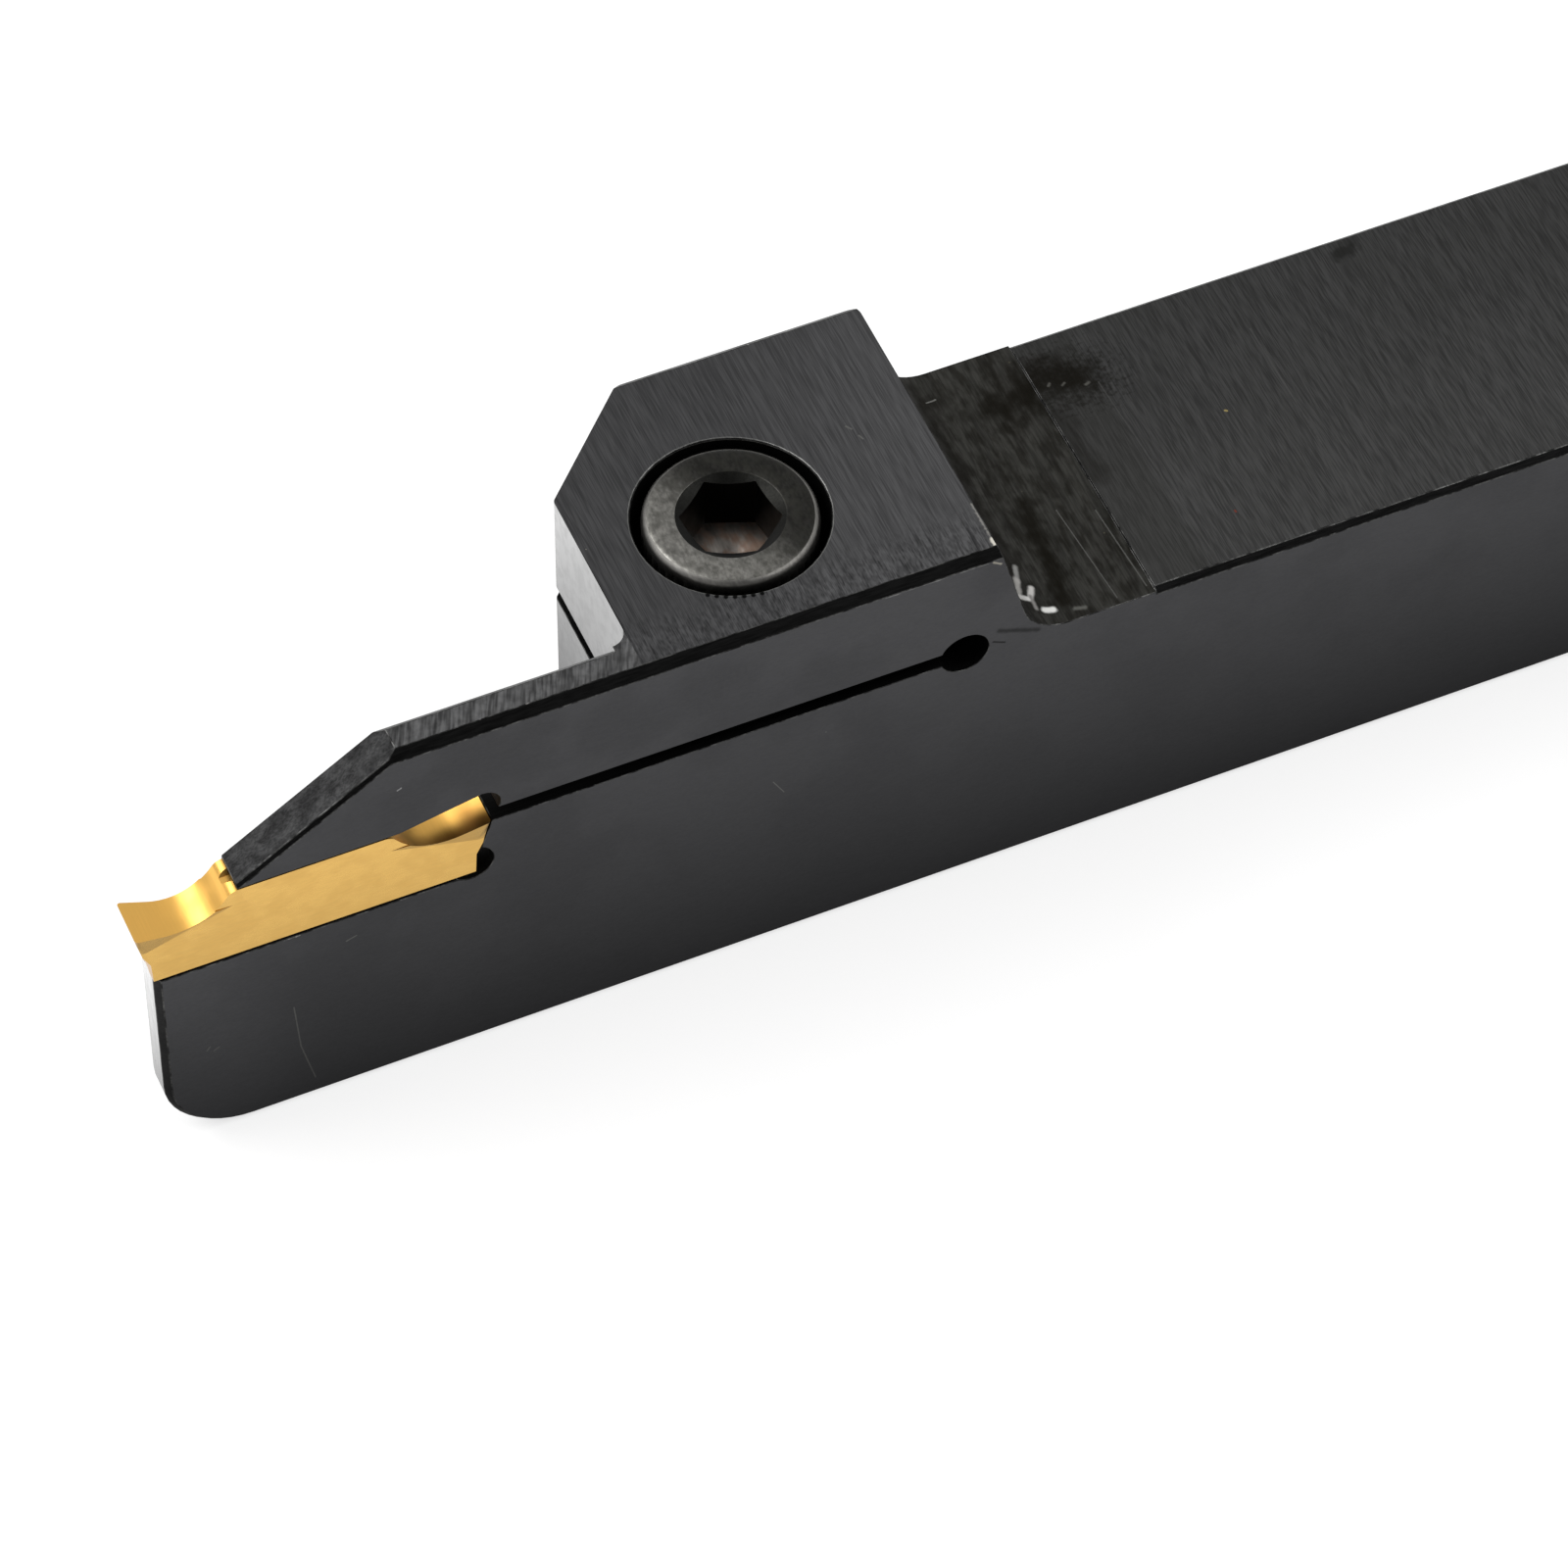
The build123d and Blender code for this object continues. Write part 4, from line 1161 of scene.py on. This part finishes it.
@dataclass
class ClampScrew:
    """The socket head cap screw, turned round its axis, with a knurled head and a thread."""

    axis_mm: tuple[float, float] = SCREW_AXIS_MM
    top_mm: float = 28.35
    across_flats_mm: float = 5.0
    socket_turn: float = 38.0
    mouth_radius_mm: float = 3.15
    mouth_slope: float = 0.577
    mouth_floor_mm: float = -1.0
    around: int = 192
    sharp_degrees: float = 32.0
    knurl: Sleeve = Sleeve("knurl", 5.0, 0.13, 22.95, 4.75, 30, ribs=48, fade=0.06, crest=0.2)
    thread: Sleeve = Sleeve("thread", 2.95, 0.6, 3.2, 18.4, 112, turns=18.4, fade=0.03)

    def inner_rings(self) -> list[Ring]:
        """List the rings from the bottom of the socket up to the head's outer edge.

        Returns:
            The rings, from the axis outwards.
        """
        floor, wall, top, side = ScrewFinish.FLOOR, ScrewFinish.WALL, ScrewFinish.TOP, ScrewFinish.SIDE
        return [
            Ring(-4.594, 0.0, floor),
            Ring(-4.023, 0.95, floor),
            Ring(-3.76, 2.42, floor),
            Ring(-3.75, 2.5, wall, hexagon=True),
            Ring(-0.4, 2.5, wall, hexagon=True),
            Ring(-0.03, self.mouth_radius_mm - 0.04, top),
            Ring(0.0, self.mouth_radius_mm + 0.04, top),
            Ring(0.0, 3.9, top),
            Ring(-0.005, 4.45, top),
            Ring(-0.05, 4.68, side),
            Ring(-0.17, 4.86, side),
            Ring(-0.35, 4.96, side),
            Ring(-0.65, 5.0, side),
        ]

    def outer_rings(self) -> list[list[Ring]]:
        """List the rings on the outside of the screw.

        Returns:
            The rings below the knurl, and those below the thread.
        """
        underhead = ((-5.4, 5.0), (-5.8, 4.95), (-6.0, 4.75))
        root = ((-6.0, 3.2), (-6.07, 3.02), (-6.25, 2.95), (-6.75, 2.95))
        tip = ((-25.15, 2.95), (-25.2, 2.92), (-26.0, 2.15), (-26.0, 0.0))
        return [[Ring(*sizes, ScrewFinish.SIDE) for sizes in run] for run in (underhead + root, tip)]

    def point(self, ring: Ring, step: int) -> Vector:
        """Place one vertex of a ring.

        Args:
            ring: The ring.
            step: The vertex's number round it.

        Returns:
            The place in metres.
        """
        angle = math.tau * step / self.around
        radius, height = ring.radius_mm, ring.height_mm
        if ring.hexagon:
            off_flat = (math.degrees(angle) - self.socket_turn) % 60 - 30
            radius = self.across_flats_mm / 2 / math.cos(math.radians(off_flat))
            if height > self.mouth_floor_mm:
                height = -(self.mouth_radius_mm - radius) * self.mouth_slope
        x = self.axis_mm[0] + radius * math.cos(angle)
        y = self.axis_mm[1] + radius * math.sin(angle)
        return Vector((x, y, self.top_mm + height)) * MM

    def lathe(self, skin: bmesh.types.BMesh, rings: Sequence[Ring]) -> None:
        """Add the skin through a run of rings; a ring of no radius closes it.

        Args:
            skin: The mesh to add to.
            rings: The rings, with the solid on the right of their run outwards.
        """
        slots = list(ScrewFinish)
        last: list[bmesh.types.BMVert] = []
        for number, ring in enumerate(rings):
            count = self.around if ring.radius_mm else 1
            verts = [skin.verts.new(self.point(ring, step)) for step in range(count)]
            for step in range(self.around if last else 0):
                after = (step + 1) % self.around
                low = [last[step % len(last)], last[after % len(last)]]
                high = [verts[after % count], verts[step % count]]
                corners = list(dict.fromkeys(low + high))
                face = skin.faces.new(corners)
                face.material_index = slots.index(rings[number - 1].finish)
            last = verts

    def build(self, groups: ShadeGroups, tree: bpy.types.NodeTree) -> list[bpy.types.Object]:
        """Build and dress the screw.

        Args:
            groups: The shared shader groups.
            tree: The ribbed sleeve's tree.

        Returns:
            The screw, in a list.
        """
        finishes = [finish.value.material(groups) for finish in ScrewFinish]
        skin = bmesh.new()
        for rings in (self.inner_rings(), *self.outer_rings()):
            self.lathe(skin, rings)
        side = list(ScrewFinish).index(ScrewFinish.SIDE)
        for sleeve in (self.knurl, self.thread):
            made = sleeve.build(tree, self.axis_mm, finishes[side])
            first = len(skin.faces)
            skin.from_mesh(made.data)
            skin.faces.ensure_lookup_table()
            for face in skin.faces[first:]:
                face.material_index = side
            bpy.data.objects.remove(made)
        bmesh.ops.remove_doubles(skin, verts=skin.verts, dist=2 * WELD_MM * MM)
        bmesh.ops.recalc_face_normals(skin, faces=skin.faces)
        mesh = bpy.data.meshes.new("screw")
        skin.to_mesh(mesh)
        skin.free()
        for finish in finishes:
            mesh.materials.append(finish)
        shade_crisply(mesh, self.sharp_degrees)
        screw = bpy.data.objects.new("screw", mesh)
        bpy.context.scene.collection.objects.link(screw)
        return [ride_as(screw, Body.SCREW, "clamp_screw")]


# -------------------------------------------------------------------- studio


@dataclass(frozen=True)
class Softbox:
    """A square lamp that faces the tool."""

    name: str
    place: Point
    side: float
    power: float


@dataclass
class Studio:
    """White floor and surroundings, soft lamps and the camera."""

    floor_side: float = 6.0
    floor_tone: float = 0.45
    floor_glow: float = 0.66
    shade_reach_mm: float = 17.0
    shade_tone: float = 0.235
    footprints: tuple[tuple[Point, Point], ...] = (
        ((26.0, 0.0, 0.0), (47.3, 10.0, 9.0)),
        ((-36.0, -8.8, 0.0), (14.7, 1.2, 9.0)),
    )
    card_tone: float = 1.8
    card_ahead_mm: tuple[float, float] = (-30.0, -23.0)
    card_beside_mm: tuple[float, float] = (-10.0, -6.0)
    room_light: float = 0.7
    dark_side: Point = (0.25, -0.8, 0.55)
    dark_tone: float = 0.3
    dark_spread: tuple[float, float] = (0.35, 0.85)
    camera_place: Point = (-0.11707, -0.24225, 0.34500)
    camera_turn: Point = (37.5466, -0.3529, -23.6742)
    lens_mm: float = 170.4
    sensor_mm: float = 36.0
    near_limit: float = 0.01
    softboxes: tuple[Softbox, ...] = (
        Softbox("key softbox", (-0.7, 0.5, 1.1), 0.9, 10.0),
        Softbox("fill softbox", (0.8, -0.4, 1.0), 0.9, 6.0),
    )

    def mirrored_floor(self, sheet: NodeSheet) -> bpy.types.NodeSocket:
        """Find how bright the floor looks in the steel: darker near the tool, with a card by its tip.

        Args:
            sheet: The floor's nodes.

        Returns:
            The brightness.
        """
        position = sheet.add("ShaderNodeNewGeometry").outputs["Position"]
        place = sheet.vector("MULTIPLY", position, (1 / MM,) * 3)
        gaps = []
        for centre, half in self.footprints:
            offset = sheet.vector("ABSOLUTE", sheet.vector("SUBTRACT", place, centre))
            beyond = sheet.parts(sheet.vector("SUBTRACT", offset, half))
            gaps.append(sheet.math("MAXIMUM", beyond[0], beyond[1]))
        reach = sheet.math("DIVIDE", sheet.math("MINIMUM", *gaps), self.shade_reach_mm, clamp=True)
        shade = sheet.math("ADD", sheet.math("MULTIPLY", reach, 1.0 - self.shade_tone), self.shade_tone)
        spot = sheet.parts(place)
        ahead = sheet.remap(spot[0], self.card_ahead_mm, (1.0, 0.0))
        beside = sheet.remap(spot[1], self.card_beside_mm)
        card = sheet.math("MULTIPLY", sheet.math("MULTIPLY", ahead, beside), self.card_tone - 1.0)
        return sheet.math("MULTIPLY", shade, sheet.math("ADD", card, 1.0))

    def floor(self) -> None:
        """Lay the floor, white to the camera and in reflections, with soft shadows."""
        half = self.floor_side / 2
        mesh = bpy.data.meshes.new("floor")
        corners = [(-half, -half, 0), (half, -half, 0), (half, half, 0), (-half, half, 0)]
        mesh.from_pydata(corners, [], [(0, 1, 2, 3)])
        made = bpy.data.objects.new("floor", mesh)
        bpy.context.scene.collection.objects.link(made)
        paper = bpy.data.materials.new("white paper")
        paper.use_nodes = True
        tree = paper.node_tree
        tree.nodes.clear()
        sheet = NodeSheet(tree)
        diffuse = sheet.add("ShaderNodeBsdfDiffuse", {"Color": (self.floor_tone,) * 3 + (1,)}).outputs[0]
        glow = sheet.add("ShaderNodeEmission", {"Strength": self.floor_glow}).outputs[0]
        white = sheet.add("ShaderNodeEmission", {"Strength": self.mirrored_floor(sheet)}).outputs[0]
        ray = sheet.add("ShaderNodeLightPath").outputs
        seen = sheet.add("ShaderNodeAddShader", {0: diffuse, 1: glow}).outputs[0]
        direct = sheet.add("ShaderNodeMixShader", {0: ray["Is Camera Ray"], 1: diffuse, 2: seen}).outputs[0]
        mirrored = sheet.math("MAXIMUM", ray["Is Glossy Ray"], ray["Is Transmission Ray"])
        surface = sheet.add("ShaderNodeMixShader", {0: mirrored, 1: direct, 2: white}).outputs[0]
        sheet.add("ShaderNodeOutputMaterial", {"Surface": surface})
        mesh.materials.append(paper)

    def room(self) -> None:
        """Make the surroundings: white to the camera, darker behind it in reflections."""
        world = bpy.data.worlds.new("studio")
        world.use_nodes = True
        bpy.context.scene.world = world
        tree = world.node_tree
        tree.nodes.clear()
        sheet = NodeSheet(tree)
        way = sheet.add("ShaderNodeTexCoord").outputs["Generated"]
        toward = tuple(Vector(self.dark_side).normalized())
        facing = sheet.measure("DOT_PRODUCT", way, toward)
        mirrored = sheet.remap(facing, self.dark_spread, (1.0, self.dark_tone))
        ray = sheet.add("ShaderNodeLightPath").outputs
        strength = sheet.math("MULTIPLY", ray["Is Diffuse Ray"], self.room_light - 1.0)
        strength = sheet.math("ADD", strength, 1.0)
        glossy = sheet.math("MULTIPLY", ray["Is Glossy Ray"], sheet.math("SUBTRACT", mirrored, 1.0))
        total = sheet.math("ADD", strength, glossy)
        light = sheet.add("ShaderNodeBackground", {"Strength": total}).outputs[0]
        sheet.add("ShaderNodeOutputWorld", {"Surface": light})

    def lamps(self) -> None:
        """Hang the softboxes, each turned to the tool."""
        for box in self.softboxes:
            lamp = bpy.data.lights.new(box.name, "AREA")
            lamp.shape = "SQUARE"
            lamp.size = box.side
            lamp.energy = box.power
            made = bpy.data.objects.new(box.name, lamp)
            made.location = box.place
            made.rotation_euler = Vector(box.place).to_track_quat("Z", "Y").to_euler()
            bpy.context.scene.collection.objects.link(made)

    def camera(self) -> None:
        """Set up the camera."""
        lens = bpy.data.cameras.new("camera")
        lens.lens = self.lens_mm
        lens.sensor_width = self.sensor_mm
        lens.clip_start = self.near_limit
        made = bpy.data.objects.new("camera", lens)
        made.location = self.camera_place
        made.rotation_euler = Euler([math.radians(angle) for angle in self.camera_turn])
        bpy.context.scene.collection.objects.link(made)
        bpy.context.scene.camera = made

    def build(self) -> None:
        """Build the floor, the surroundings, the lamps and the camera."""
        self.floor()
        self.room()
        self.lamps()
        self.camera()
        bpy.context.scene.view_settings.view_transform = "Standard"


def main() -> None:
    """Build the tool and the studio, and report each piece."""
    logging.basicConfig(level=logging.INFO, format="%(message)s")
    groups = ShadeGroups.build()
    tree = ribbed_sleeve_tree()
    for assembly in (HolderBody(), ClampScrew(), GroovingInsert()):
        for piece in assembly.build(groups, tree):
            LOG.info("%s: %d faces", piece.name, len(piece.data.polygons))
    Studio().build()


if __name__ == "__main__":
    main()
